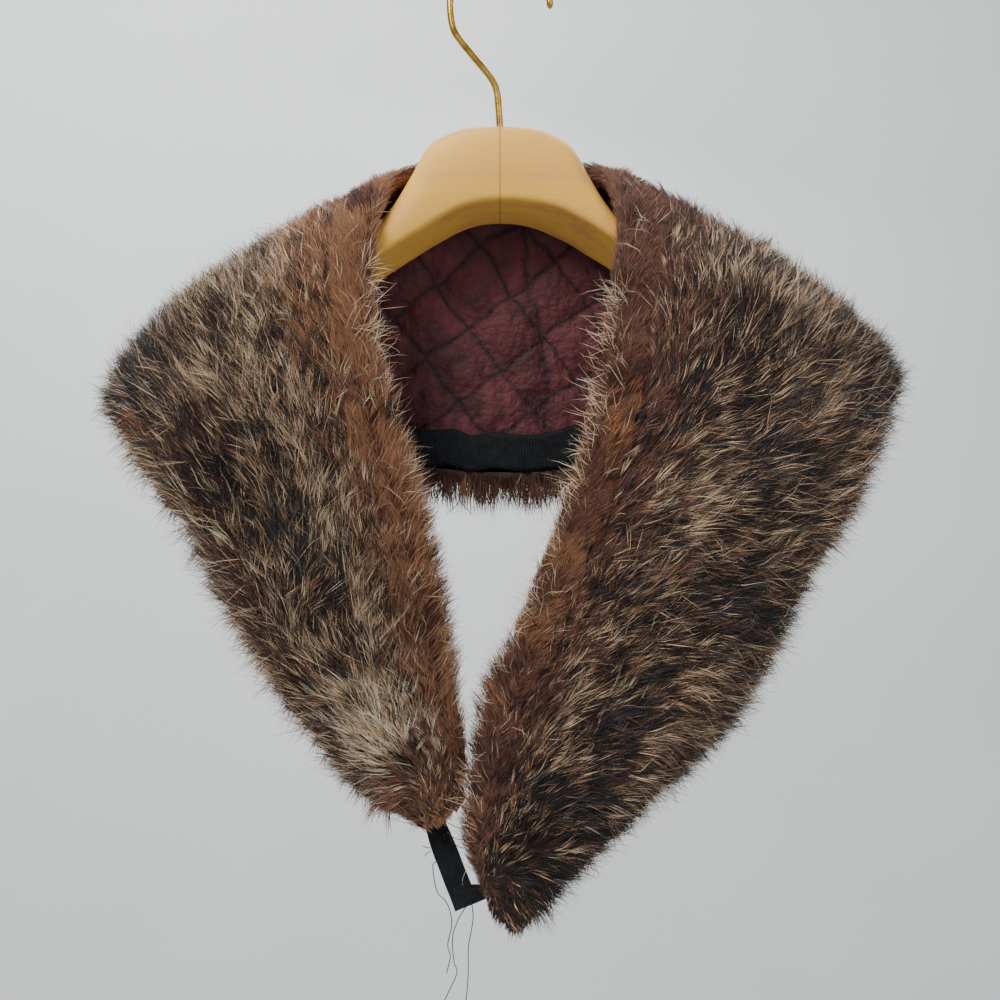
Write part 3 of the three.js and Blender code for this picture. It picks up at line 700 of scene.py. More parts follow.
def grow(name, place, along, share, strands, look, choose, nap, seed, stay):
    """Locks of strands on a laid surface; look has their measures, stay the bounds of the roots."""
    look = {**USUAL, **look}
    draw = np.random.default_rng(seed)
    centre, normal, lengthways, crossways, scales = surface_frames(place, along, share)
    wanted = nap(centre, normal, lengthways, crossways, along, share)
    lying = unit(wanted - normal * (wanted * normal).sum(axis=1)[:, None])
    sway = ripple(centre, 34, seed + 1) * look["sway"] + draw.normal(size=len(along)) * look["mess"]
    lying = turned(lying, normal, np.radians(sway))
    kinds = choose(centre, normal, along, share, draw)
    lock_length = look["length"](centre, along, share) * draw.uniform(*look["vary"], len(along))
    lock_curl = np.radians(draw.normal(size=len(along)) * look["curl"])
    lock_lift = draw.normal(size=len(along)) * look["uneven"]
    lock_shade = draw.random(len(along))
    pick = np.repeat(np.arange(len(along)), strands)
    amount = len(pick)
    shift = draw.normal(size=(amount, 2)) * look["spread"]
    own_along = np.clip(along[pick] + shift[:, 0] / scales[0][pick], stay[0], stay[1])
    own_share = np.clip(share[pick] + shift[:, 1] / scales[1][pick], stay[2], stay[3])
    root, own_normal = surface_frames(place, own_along, own_share)[:2]
    way = unit(lying[pick] - own_normal * (lying[pick] * own_normal).sum(axis=1)[:, None])
    way = turned(way, own_normal, np.radians(draw.normal(size=amount) * look["stray"]))
    length = lock_length[pick] * draw.uniform(0.8, 1.12, amount)
    together = look["together"] * (root - centre[pick])
    count = look["joints"]
    steps = BLADE_STEPS[count]
    joints = np.empty((amount, count, 3))
    joints[:, 0] = root - own_normal * 0.4
    here, lifts = root.copy(), look["lifts"]
    for step in range(count - 1):
        middle = (steps[step] + steps[step + 1]) / 2
        lift = np.radians(lifts[0] + (lifts[1] - lifts[0]) * middle + lock_lift[pick])
        bent = turned(way, own_normal, lock_curl[pick] * middle * 2)
        stretch = (length * (steps[step + 1] - steps[step]))[:, None]
        here = here + stretch * (bent * np.cos(lift)[:, None] + own_normal * np.sin(lift)[:, None])
        joints[:, step + 1] = here - together * steps[step + 1] ** 1.2
    roll = np.radians(draw.uniform(-55, 55, amount))
    along_blade = unit(joints[:, -1] - joints[:, 0])
    side = unit(np.cross(along_blade, own_normal))
    side = side * np.cos(roll)[:, None] + np.cross(side, along_blade) * np.sin(roll)[:, None]
    widths = look["width"] * draw.uniform(0.7, 1.25, amount)
    uneven_shade = (lock_shade[pick] + draw.random(amount)) / 2 - 0.5
    drift = look["drift"] * ripple(centre, 26, seed + 3)
    own_shade = 0.5 + look["contrast"](centre)[pick] * uneven_shade + drift[pick]
    own_shade = np.clip(own_shade, 0, 1)
    mixed = np.where(draw.random(amount) < look["kept"], kinds[pick], draw.permutation(kinds[pick]))
    places = kind_place(mixed, own_shade)
    reaches = np.stack([draw.uniform(0.02, 0.2, amount), draw.uniform(0.72, 0.98, amount)], axis=1)
    mesh = hair_mesh(name, joints, side[:, None, :], widths, places, reaches)
    print(f"{name}: {len(along)} locks, {amount} strands, {amount * (2 * count - 3)} triangles")
    return mesh


# %% [markdown]
# ## Where each kind of hair grows
# The pattern of the fur is chosen lock by lock. A soft random value makes lighter and darker
# zones, and a short list of patches adds the slate marks, the chestnut border on the lower left
# hem and the ginger and brown tips.

# %% Patches of colour
PATCHES_LEFT = (
    (-169, -226, 13, "slate", 4.0), (-127, -281, 11, "dark", 9.0), (-101, -303, 9, "slate", 6.0),
    (-156, -251, 11, "slate", 2.5), (-110, -262, 12, "dark", 1.6), (-138, -252, 9, "chestnut", 2.0),
    (-177, -257, 6, "ginger", 3.0),
    (-92, -328, 7, "slate", 4.0), (-89, -338, 10, "brown", 4.0), (-48, -405, 17, "pale", 2.5),
    (-60, -396, 15, "cream", 3.0), (-82, -160, 12, "fox", 1.0), (-140, -205, 16, "dark", 0.6),
    (-70, -270, 14, "dark", 0.5), (-38, -432, 17, "mahogany", 14.0), (-38, -440, 12, "fox", 12.0),
    (-33, -444, 5, "ginger", 14.0), (-112, -185, 34, "cream", 0.24),
    (-112, -185, 30, "pale", 0.05),    (-24, -430, 9, "fox", 7.0),
)
PATCHES_RIGHT = (
    (117, -260, 11, "slate", 4.0), (171, -241, 11, "slate", 4.0), (93, -327, 8, "slate", 5.0),
    (105, -337, 8, "slate", 5.0), (126, -347, 10, "slate", 4.0), (47, -390, 9, "slate", 4.0),
    (18, -428, 9, "slate", 4.0), (108, -200, 9, "brown", 4.0), (108, -225, 9, "brown", 3.0),
    (8, -472, 19, "dark", 12.0), (5, -480, 16, "brown", 16.0), (6, -488, 12, "chestnut", 9.0),
    (30, -448, 12, "dark", 2.5),
    (60, -230, 14, "mahogany", 1.0), (24, -330, 12, "cream", 1.0), (90, -165, 16, "dark", 0.5),
    (105, -180, 30, "cream", 0.07),
)
GENERAL_MIX = (
    ("banded", 0.37), ("banded_tan", 0.14), ("dark", 0.27), ("slate", 0.05),
    ("chestnut", 0.07), ("cream", 0.06), ("pale", 0.02), ("brown", 0.07),
)
ZONE_PULL = (
    ("dark", 0.9), ("slate", 1.2), ("brown", 0.8), ("chestnut", 0.5), ("banded", -0.45),
    ("cream", -0.8),
)


print(len(PATCHES_LEFT) + len(PATCHES_RIGHT), "patches on the two fronts")

# %% Choice of the kind, lock by lock
SHOULDER, BORDER, BORDER_WIDTH = -185, 0.74, 0.06


def choose_fur(patches, inner_kind, seed, pull):
    """A chooser of hair kinds for one side of the fur, with more dark ones below the shoulder."""

    def choose(points, normal, along, share, draw):
        weight = np.full((len(points), len(HAIR_KINDS)), 1e-4)
        zone = 0.8 * ripple(points, 46, seed) + 1.0 * ripple(points, 14, seed + 7)
        for kind, amount in GENERAL_MIX:
            weight[:, KIND[kind]] = amount
        for kind, strength in ZONE_PULL:
            weight[:, KIND[kind]] *= np.exp(strength * zone)
        low = 1 + pull * np.clip((SHOULDER - points[:, 2]) / 50, 0, 1)
        for kind in ("dark", "slate", "brown", "banded_tan"):
            weight[:, KIND[kind]] *= low
        for x, z, size, kind, strength in patches:
            apart = (points[:, 0] - x) ** 2 + (points[:, 2] - z) ** 2
            near = np.exp(-apart / size**2) * (normal[:, 1] < 0.35)
            weight[:, KIND[kind]] += strength * near
        inner = 3.0 * np.exp(-((np.maximum(share - 0.02, 0) / 0.085) ** 2))
        weight[:, KIND[inner_kind]] += inner
        weight[:, KIND["chestnut"]] += inner * 0.4
        low_left = (along > 0.4) & (along < 5.5)
        border = np.exp(-(((share - BORDER) / BORDER_WIDTH) ** 2))
        weight[:, KIND["chestnut"]] += border * np.where(low_left, 4.0, 0.5)
        edge = np.clip((share - 0.765) / 0.05, 0, 1) * ((along > 1.2) & (along < 26.4))
        weight[:, KIND["cream"]] += 0.6 * edge
        weight[:, KIND["fox"]] += 0.6 * edge
        total = np.cumsum(weight / weight.sum(axis=1)[:, None], axis=1)
        return (draw.random(len(points))[:, None] > total).sum(axis=1).clip(0, len(HAIR_KINDS) - 1)

    return choose


print("choice of fur ready, with a border", BORDER_WIDTH, "of the width wide")


# %% Lie and length of the fur
def fur_nap(readings):
    """A nap for one side: the readings where the fur faces forwards, neck to hem behind."""

    def nap(points, normal, lengthways, crossways, along, share):
        forward = np.clip((0.25 - normal[:, 1]) / 0.5, 0, 1)[:, None]
        return read_nap(points, readings) * forward + crossways * (1 - forward)

    return nap


def fur_length(points, along, share):
    """Length of the hair in millimetres: short at the tips and the neck, long on the hems."""
    from_tip = np.minimum(along - LEFT_TIP, RIGHT_TIP - along)
    tip = np.interp(from_tip, [0, 1.0, 2.2], [0.4, 0.8, 1.0])
    neck = np.interp(share, [0, 0.12, 0.3, 0.75, 0.9], [0.62, 0.8, 1.0, 1.0, 0.9])
    return 23.0 * tip * neck


print("hair at the middle of the back, mm", fur_length(None, np.array([MIDDLE]), np.array([0.5])))


# %% [markdown]
# The deep fur is grown in two coats. The locks of the under coat cover the pelt, and the longer
# guard hairs stand singly over them and break up the outline.

# %% Under coat and guard hair
def calm_at_tips(points):
    """How uneven the shades are: nearly even at the two tips."""
    left = (points[:, 0] + 36) ** 2 + (points[:, 2] + 436) ** 2
    right = (points[:, 0] - 4) ** 2 + (points[:, 2] + 482) ** 2
    return 1 - 0.6 * np.exp(-left / 22**2) - 0.4 * np.exp(-right / 18**2)


UNDER = dict(
    length=fur_length, spread=0.9, together=0.6, lifts=(24, -4), uneven=6, sway=11, mess=8,
    curl=12, stray=5, width=0.4, joints=3, kept=0.84, contrast=calm_at_tips,
)
GUARD = dict(
    length=lambda p, a, s: fur_length(p, a, s) * 1.2, spread=0.6, together=0.4, lifts=(20, 0),
    uneven=5, sway=10, mess=14, curl=18, stray=9, width=0.25, joints=4, contrast=calm_at_tips,
)
COATS = (
    ("under_left", "pelt_left", LEFT_TIP, LEFT_RIDGE, 10500, 6, UNDER, NAP_LEFT, PATCHES_LEFT,
     "fox", 0.45, 11),
    ("guard_left", "pelt_left", LEFT_TIP, LEFT_RIDGE, 3450, 3, GUARD, NAP_LEFT, PATCHES_LEFT,
     "fox", 0.3, 23),
    ("under_right", "pelt_right", RIGHT_RIDGE, RIGHT_TIP, 11000, 6, UNDER, NAP_RIGHT,
     PATCHES_RIGHT, "mahogany", 2.1, 37),
    ("guard_right", "pelt_right", RIGHT_RIDGE, RIGHT_TIP, 3900, 3, GUARD, NAP_RIGHT,
     PATCHES_RIGHT, "mahogany", 1.9, 41),
    ("under_back", "pelt_back", LEFT_RIDGE, RIGHT_RIDGE, 5750, 6, UNDER, NAP_LEFT, (),
     "chestnut", 0.3, 53),
)
coats = {"pelt_left": [], "pelt_back": [], "pelt_right": []}
for name, pelt, first, last, locks, strands, look, nap, patches, inner, pull, seed in COATS:
    draw = np.random.default_rng(seed)
    along, share = scatter(pelt_point, first, last, 0.0, PELT_TURN, locks, draw)
    mesh = grow(
        name, pelt_point, along, share, strands, look, choose_fur(patches, inner, seed + 2, pull),
        fur_nap(nap), seed, (first, last, 0, 0.9),
    )
    coats[pelt].append(finish_piece(name, mesh, hair_finish))

# %% [markdown]
# Long, very thin hairs stand out all round. Half of them start just inside the hem and the others
# right at its turn, with a row of loose locks between. They make the outline look soft.


# %% Whiskers of the outline
def outline_length(longest, at_tip):
    """A length in millimetres that falls to a share of itself at the two tips."""
    return lambda p, a, s: longest * np.interp(np.minimum(a, RIGHT_TIP - a), [0, 2], [at_tip, 1.0])


def even_length(length):
    """The same length in millimetres everywhere."""
    return lambda p, a, s: np.full(len(a), length)


def outline_nap(readings):
    """Half with the nap and half straight out over the hem."""
    combed = fur_nap(readings)

    def nap(points, normal, lengthways, crossways, along, share):
        return 0.7 * combed(points, normal, lengthways, crossways, along, share) + crossways

    return nap


def choose_whiskers(points, normal, along, share, draw):
    """Cream and pale ones among dark ones."""
    kinds = [KIND["pale"], KIND["cream"], KIND["banded"], KIND["dark"]]
    return draw.choice(kinds, len(along), p=[0.22, 0.28, 0.2, 0.3])


WHISKER = dict(
    length=outline_length(34.0, 0.6), spread=0.8, together=0.3, lifts=(10, 0), uneven=7,
    sway=12, mess=16, curl=22, stray=12, width=0.21, joints=4,
)
EDGE_WHISKER = dict(
    length=outline_length(33.0, 0.75), spread=0.8, together=0.0, lifts=(6, 0), uneven=6,
    sway=10, mess=20, curl=24, stray=12, width=0.22, joints=4, vary=(0.35, 1.0),
)
EDGE_LOCK = dict(
    length=outline_length(25.0, 0.55), spread=1.0, together=0.7, lifts=(9, -2), uneven=6,
    sway=14, mess=14, curl=20, stray=6, width=0.26, joints=4, vary=(0.5, 1.05), kept=0.9,
)
for name, pelt, first, last, readings, patches, reach, seed in (
    ("left", "pelt_left", LEFT_TIP, LEFT_RIDGE, NAP_LEFT, PATCHES_LEFT, 1.0, 83),
    ("back", "pelt_back", LEFT_RIDGE, RIGHT_RIDGE, NAP_LEFT, (), 0.64, 89),
    ("right", "pelt_right", RIGHT_RIDGE, RIGHT_TIP, NAP_RIGHT, PATCHES_RIGHT, 1.0, 97),
):
    own_kinds = choose_fur(patches, "chestnut", seed, 0.6)
    for part, low, high, look, choose, locks, strands in (
        ("whiskers", 0.6, 0.8, WHISKER, choose_whiskers, 600, 2),
        ("edge_whiskers", 0.73, 0.85, EDGE_WHISKER, choose_whiskers, 520, 2),
        ("edge_locks", 0.7, 0.86, EDGE_LOCK, own_kinds, 330, 5),
    ):
        draw = np.random.default_rng(seed + locks + strands)
        along, share = scatter(pelt_point, first, last, low, high, locks, draw)
        shorter = {**look, "length": lambda p, a, s, k=look, r=reach: r * k["length"](p, a, s)}
        mesh = grow(
            f"{part}_{name}", pelt_point, along, share, strands, shorter, choose,
            outline_nap(readings), seed + locks, (first, last, 0, 0.9),
        )
        coats[pelt].append(finish_piece(f"{part}_{name}", mesh, hair_finish))

# %% [markdown]
# The cut ends of the pelts at the two tips carry a row of short tufts, which lie over the binding
# between its stitches.

# %% Tufts at the tips
TIP_TUFT = dict(
    length=lambda p, a, s: np.where(a < RIGHT_TIP / 2, 4.6, 6.0), spread=0.5, together=0.8,
    lifts=(6, -16), uneven=7, sway=4, mess=6, curl=6, stray=5, width=0.36, joints=3, kept=0.85,
)


def tip_nap(points, normal, lengthways, crossways, along, share):
    """Straight out over the nearer tip."""
    return lengthways * np.where(along < RIGHT_TIP / 2, -1.0, 1.0)[:, None]


def choose_tip(points, normal, along, share, draw):
    """Fox and ginger on the left, brown and chestnut on the right."""
    warm = [KIND["fox"], KIND["ginger"], KIND["mahogany"]]
    deep = [KIND["brown"], KIND["chestnut"], KIND["dark"]]
    left = draw.choice(warm, len(along), p=[0.5, 0.2, 0.3])
    right = draw.choice(deep, len(along), p=[0.4, 0.3, 0.3])
    return np.where(along < RIGHT_TIP / 2, left, right)


for name, pelt, first, last, seed in (
    ("tip_tufts_left", "pelt_left", 0.0, 0.12, 131),
    ("tip_tufts_right", "pelt_right", 27.88, 28.0, 137),
):
    draw = np.random.default_rng(seed)
    along, share = scatter(pelt_point, first, last, 0.0, 0.84, 120, draw)
    mesh = grow(
        name, pelt_point, along, share, 7, TIP_TUFT, choose_tip, tip_nap, seed,
        (first, last, 0, 0.88),
    )
    coats[pelt].append(finish_piece(name, mesh, hair_finish))

# %% [markdown]
# Under the hem the hair is turned in with the leather. Seen through the opening, it makes a
# brown fringe below the ribbon of the back. It is grown thicker there, and a few loose hairs hang
# below it.

# %% Fringe under the hem
FRINGE = dict(
    length=even_length(20.0), spread=1.2, together=0.1, lifts=(16, -4),
    uneven=5, sway=4, mess=7, curl=8, stray=7, width=0.42, joints=3, kept=1.0, drift=0.12,
    contrast=lambda p: np.full(len(p), 0.35),
)
LOOSE_FRINGE = dict(
    length=even_length(22.0), spread=1.2, together=0.0, lifts=(8, 0),
    uneven=10, sway=10, mess=22, curl=24, stray=10, width=0.15, joints=4, vary=(0.5, 1.1),
)


def choose_fringe(points, normal, along, share, draw):
    """Chestnut, brown and fox in soft zones."""
    zone = ripple(points, 40, 62) + 0.3 * draw.normal(size=len(along))
    soft = np.where(zone < 0.4, KIND["mahogany"], KIND["fox"])
    return np.where(zone < -0.4, KIND["chestnut"], soft)


def hem_nap(points, normal, lengthways, crossways, along, share):
    """Down and out over the edge of the hem."""
    return crossways * -1.0 + np.array([0, 0, -0.6])


for name, first, last, locks, strands, look, choose, seed in (
    ("hem_fringe", 0.3, 27.7, 800, 7, FRINGE, choose_fringe, 61),
    ("opening_fringe", 11.4, 14.6, 330, 7, FRINGE, choose_fringe, 63),
    ("loose_fringe", 8.5, 17.5, 190, 2, LOOSE_FRINGE, choose_whiskers, 67),
):
    draw = np.random.default_rng(seed)
    along, share = scatter(pelt_point, first, last, 0.93, 1.0, locks, draw)
    mesh = grow(
        name, pelt_point, along, share, strands, look, choose, hem_nap, seed,
        (0.05, 27.95, 0.9, 1.0),
    )
    finish_piece(name, mesh, hair_finish)

# %% [markdown]
# The short fur of the neck bands lies along the band. It is close and dense, so its strands are
# few millimetres long and stand in small tufts.

# %% Short fur of the bands
def leaning(along):
    """Where the short fur leans out: beside the opening on the left, over the tab on the right."""
    return np.interp(along, [1.0, 1.8, 5.0, 6.0, 23.8, 24.6, 27.1, 27.7], [0, 1, 1, 0, 0, 1, 1, 0])


def band_length(points, along, share):
    """Length of the short fur in millimetres; longer where it leans out from the neck edge."""
    tip = np.interp(np.minimum(along, RIGHT_TIP - along), [0, 1.5], [0.6, 1.0])
    return 8.2 * tip * (1 + 0.5 * leaning(along))


BAND_HAIR = dict(
    length=band_length, spread=1.3, together=0.2, lifts=(28, 0), uneven=4, sway=6, mess=6, curl=8,
    stray=8, width=0.32, joints=3, kept=0.93, drift=0.14,
    contrast=lambda points: np.full(len(points), 0.4),
)


def band_nap(points, normal, lengthways, crossways, along, share):
    """Up along the band, and out over its seam; in places it leans out from the neck edge."""
    upwards = np.where(along < MIDDLE, 1.0, -1.0)[:, None]
    sideways = np.where(share < BAND_ROLL, -0.3, 0.45)
    outwards = 1.1 * leaning(along) * (share < 0.8)
    return lengthways * upwards * 0.9 + crossways * (sideways - outwards)[:, None]


def choose_band(points, normal, along, share, draw):
    """Fox red on the left, darker on the right with one ginger patch, all in soft zones."""
    left = along < LEFT_RIDGE + 1
    zone = ripple(points, 44, 81) + 0.25 * draw.normal(size=len(along))
    glow = np.exp(-((points[:, 0] - 52) ** 2 + (points[:, 2] + 247) ** 2) / 17**2)
    low = np.clip((along - 23) / 3, 0, 1)
    kinds = np.where(left, KIND["fox"], KIND["mahogany"])
    kinds = np.where(zone > 0.8, KIND["chestnut"], kinds)
    kinds = np.where((~left) & (zone < -0.7), KIND["fox"], kinds)
    kinds = np.where((~left) & (draw.random(len(along)) < 0.35 * glow), KIND["ginger"], kinds)
    kinds = np.where((~left) & (draw.random(len(along)) < 0.45 * low), KIND["brown"], kinds)
    return np.where(draw.random(len(along)) < 0.02, KIND["banded_tan"], kinds)


band_coats = {}
for name, band, first, last, locks, seed in (
    ("short_left", "band_left", LEFT_TIP, LEFT_RIDGE, 2500, 71),
    ("short_back", "band_back", LEFT_RIDGE, RIGHT_RIDGE, 1400, 73),
    ("short_right", "band_right", RIGHT_RIDGE, RIGHT_TIP, 2800, 79),
):
    draw = np.random.default_rng(seed)
    along, share = scatter(band_point, first, last, 0.14, 1.0, locks, draw)
    mesh = grow(
        name, band_point, along, share, 7, BAND_HAIR, choose_band, band_nap, seed,
        (first, last, 0.1, 1.0),
    )
    band_coats[band] = [finish_piece(name, mesh, hair_finish)]

# %% [markdown]
# Single pale hairs have worked through the short fur. They stand in loose tufts along the neck
# edge, where they cross each other over the lining, and a few lie scattered over the bands.

# %% Single hairs on the bands
SINGLE = dict(
    length=even_length(16.5), spread=1.6, together=0.0, lifts=(26, 8),
    uneven=14, sway=14, mess=26, curl=24, stray=16, width=0.2, joints=4, vary=(0.4, 1.25),
)
TUFTS = (
    ("band_left", 4.4, 7.3, 0.36, 0.58, 190), ("band_right", 19.0, 21.6, 0.36, 0.62, 120),
    ("band_right", 23.3, 24.6, 0.4, 0.66, 70), ("band_right", 25.0, 27.3, 0.4, 0.7, 60),
    ("band_left", 0.6, 9.0, 0.5, 0.95, 90), ("band_right", 17.0, 27.0, 0.5, 0.95, 130),
    ("band_left", 1.2, 4.6, 0.36, 0.62, 170), ("band_right", 21.4, 23.4, 0.36, 0.66, 60),
)


def neck_nap(points, normal, lengthways, crossways, along, share):
    """Up the band and in over the opening."""
    upwards = np.where(along < MIDDLE, 1.0, -1.0)[:, None]
    return lengthways * upwards * 0.9 - crossways * np.where(share < 0.7, 1.0, 0.2)[:, None]


def choose_single(points, normal, along, share, draw):
    """Pale and cream hairs, some tan."""
    kinds = [KIND["pale"], KIND["cream"], KIND["fox"]]
    return draw.choice(kinds, len(along), p=[0.4, 0.42, 0.18])


for number, (band, first, last, low, high, locks) in enumerate(TUFTS):
    name = f"single_hairs_{number + 1}"
    draw = np.random.default_rng(101 + number)
    along, share = scatter(band_point, first, last, low, high, locks, draw)
    mesh = grow(
        name, band_point, along, share, 2, SINGLE, choose_single, neck_nap, 111 + number,
        (first, last, low, high),
    )
    band_coats[band].append(finish_piece(name, mesh, hair_finish))

# %% [markdown]
# ## The quilted lining
# The lining is a maroon satin, quilted in diamonds over a thin wadding. Each diamond is puffed
# between its stitched lines, so the sheet's inner face is raised by a value that falls to nothing
# along both sets of lines. Towards the ribbon the satin is gathered in small upright folds, and a
# wavy crease runs down the back.

# %% Height of the quilting
DIAMOND_SIDE, DIAMOND_TILT = 29.0, math.radians(37)
RISING_SHIFT, FALLING_SHIFT = 23.5, 18.7
QUILT_PUFF = 2.7
LINING_BASE = 1.3
LINING_LOW, LINING_HIGH, SATIN_THICKNESS = 0.055, 0.905, 0.6
CREASE = ((11, -118), (12.4, -134), (16.2, -172), (23.3, -197), (24.9, -229), (25.4, -262))


def quilt_places(points):
    """Places over the two sets of stitch lines, counted in diamonds; the sewing wanders a bit."""
    wander = 1.3 * ripple(points, 50, 3) + 0.7 * ripple(points, 15, 4)
    rising = points[:, 0] * math.sin(DIAMOND_TILT) - points[:, 2] * math.cos(DIAMOND_TILT)
    falling = points[:, 0] * math.cos(DIAMOND_TILT) + points[:, 2] * math.sin(DIAMOND_TILT)
    first = (rising - RISING_SHIFT + wander) / DIAMOND_SIDE
    second = (falling - FALLING_SHIFT - wander) / DIAMOND_SIDE
    return first, second


def gathering(points, along, across):
    """Small upright folds above the ribbon of the back, from -1 to 1."""
    on_back = (along > LEFT_RIDGE) & (along < RIGHT_RIDGE)
    amount = np.interp(across, [0.45, 0.72, 0.86], [0, 0.8, 1]) * on_back
    wave = points[:, 0] * 2 * math.pi / 9.5 + 1.6 * np.sin(points[:, 2] / 11 + points[:, 0] / 17)
    return amount * np.sin(wave)


def crease_depth(points, along):
    """The wavy crease of the back, from 0 to 1."""
    where = np.interp(-points[:, 2], [-c[1] for c in CREASE], [c[0] for c in CREASE])
    wave = 1.2 * np.sin(points[:, 2] / 6)
    near = np.exp(-(((points[:, 0] - where - wave) / 1.5) ** 2))
    return near * ((along > 12) & (along < 15.5))


def lining_height(along, across):
    """Height of the visible face of the lining over the skin, on the inner side."""
    on_skin = skin_point(along, across)
    first, second = quilt_places(on_skin)
    puff = np.abs(np.sin(math.pi * first) * np.sin(math.pi * second)) ** 0.42
    folds = gathering(on_skin, along, across)
    flatter = 1 - 0.5 * np.abs(folds)
    wrinkle = 0.4 * ripple(on_skin, 10, 5) * puff
    crease = 1.8 * crease_depth(on_skin, along)
    return -(LINING_BASE + QUILT_PUFF * puff * flatter + 1.1 * folds + wrinkle - crease)


puffed = lining_height(np.full(50, MIDDLE), np.linspace(LINING_LOW, LINING_HIGH, 50))
print("the lining stands out by, mm", (-puffed).min().round(1), "to", (-puffed).max().round(1))


# %% [markdown]
# Satin is glossy along its floats and almost black where it turns away. The stitches are short
# dark dashes in the valleys. They wander with the sewing, so the places over the stitch lines are
# kept on the mesh as an attribute, and the puffing and the dashes read the same values. A painted
# shade darkens the satin in a band beside each stitch line, in the gathered folds and along the
# crease. The shade of the folds and the crease is kept in the same attribute.

# %% Stitch lines of the satin
satin_finish, satin_tree, satin_shader = start_finish(
    "maroon_satin", 0.52, Specular_IOR_Level=0.25, Sheen_Weight=0.08, Sheen_Roughness=0.35
)
satin_place = add(satin_tree, "ShaderNodeTexCoord").outputs["Object"]
satin_quilting = add(satin_tree, "ShaderNodeAttribute", attribute_name="quilting")
satin_parts = add(
    satin_tree, "ShaderNodeSeparateXYZ", {"Vector": satin_quilting.outputs["Vector"]}
)


def from_line(value, spacing):
    """Distance to the nearest line of a set."""
    return maths(satin_tree, "PINGPONG", maths(satin_tree, "ADD", value, 40.0), spacing / 2)


STITCH = 3.3 / DIAMOND_SIDE
LINE_WIDTH = 0.32 / DIAMOND_SIDE
# Width of the painted shade beside each stitch line, in diamonds
SHADED_WIDTH = 2.4 / DIAMOND_SIDE
satin_lines, painted_valley_shades = [], []
for line_part, walk_part in (("X", "Y"), ("Y", "X")):
    apart = from_line(satin_parts.outputs[line_part], 1.0)
    near = maths(satin_tree, "LESS_THAN", apart, LINE_WIDTH)
    dash = maths(
        satin_tree, "LESS_THAN", from_line(satin_parts.outputs[walk_part], STITCH), STITCH * 0.36
    )
    satin_lines.append(maths(satin_tree, "MULTIPLY", near, dash))
    # Painted shade in the valley: 1 on the stitch line, fading to 0 at SHADED_WIDTH
    painted_valley_shades.append(
        add(
            satin_tree,
            "ShaderNodeMapRange",
            {"Value": apart, "From Min": 0.0, "From Max": SHADED_WIDTH, "To Min": 1.0, "To Max": 0.0},
        ).outputs["Result"]
    )
satin_stitches = maths(satin_tree, "MAXIMUM", *satin_lines)
painted_valley_shade = maths(satin_tree, "MAXIMUM", *painted_valley_shades)
# The painted shade: the valleys beside the lines, plus the folds' and the crease's shade from the
# attribute's third part
satin_painted_shade = maths(satin_tree, "MAXIMUM", painted_valley_shade, satin_parts.outputs["Z"])
print(len(satin_lines), "sets of stitch lines, one every", DIAMOND_SIDE, "mm")

# %% Colours and gloss of the satin
satin_cloud = noise(satin_tree, satin_place, 55.0, 5.0)
satin_tone = ramp(
    satin_tree,
    satin_cloud,
    [(0.3, linear("3c1a1d")), (0.52, linear("55262b")), (0.75, linear("6a3238"))],
)
# The satin darkened towards near black by three quarters of the painted shade
satin_shaded = blend_colours(
    satin_tree, maths(satin_tree, "MULTIPLY", satin_painted_shade, 0.75), satin_tone, linear("1d0e12")
)
satin_colour = blend_colours(satin_tree, satin_stitches, satin_shaded, linear("190c10"))
satin_tree.links.new(satin_colour, satin_shader.inputs["Base Color"])
satin_pucker = noise(satin_tree, satin_place, 230.0, 4.0)
satin_weave = noise(satin_tree, satin_place, 2600.0, 1.0)
satin_height = maths(
    satin_tree,
    "ADD",
    maths(satin_tree, "MULTIPLY", satin_weave, 0.1),
    maths(satin_tree, "SUBTRACT", satin_pucker, maths(satin_tree, "MULTIPLY", satin_stitches, 0.6)),
)
satin_bump = add(satin_tree, "ShaderNodeBump", {"Height": satin_height, "Distance": 0.0019})
satin_tree.links.new(satin_bump.outputs["Normal"], satin_shader.inputs["Normal"])
print(satin_finish.name, len(satin_tree.nodes), "nodes")

# %% Lay the lining


def keep_quilting(piece, along_of):
    """Keeps the places over the stitch lines, and the painted shade of the folds and the crease, as an
    attribute.
    """
    points = np.empty(len(piece.data.vertices) * 3, np.float32)
    piece.data.vertices.foreach_get("co", points)
    points = points.reshape(-1, 3).astype(float) / MM
    along, across = along_of
    first, second = quilt_places(points)
    # Painted shade: darker in the hollows of the gathered folds and along the crease
    folds = np.clip(-gathering(points, along, across), 0, 1) * 0.7
    shade = np.clip(folds + crease_depth(points, along) * 1.1, 0, 1)
    kept = piece.data.attributes.new("quilting", "FLOAT_VECTOR", "POINT")
    values = np.stack([first, second, shade], axis=1).astype(np.float32)
    kept.data.foreach_set("vector", values.ravel())


for name, first, last, columns, rows, node in (
    ("satin_left", LEFT_TIP + 0.03, LEFT_RIDGE - SEAM, 84, 36, "lining_left"),
    ("satin_back", LEFT_RIDGE + SEAM, RIGHT_RIDGE - SEAM, 148, 68, "lining_back"),
    ("satin_right", RIGHT_RIDGE + SEAM, RIGHT_TIP - 0.03, 92, 36, "lining_right"),
):

    def lining_place(u, v, a=first, b=last):
        along, across = a + (b - a) * u, LINING_LOW + (LINING_HIGH - LINING_LOW) * v
        return over_skin(along, across, lining_height(along, across))

    cut, size = cut_grid(columns, rows, lining_place)
    face_out(cut, to_wearer)
    thicken(cut, SATIN_THICKNESS)
    satin = finish_piece(name, cut, satin_finish, (node,))
    points = np.array([v.co[:] for v in satin.data.vertices]) / MM
    behind = np.where(points[:, 1] > 5, 13.0, 5.0)
    drop = np.clip((-points[:, 2] - 100) / 180, 0, 1)
    keep_quilting(satin, (behind, drop))

# %% [markdown]
# ## Thread and wire
# A thread and a wire are made alike: a grid is wrapped round a smooth path and closed at both
# ends. Short stitches are many such wires, joined into one mesh.

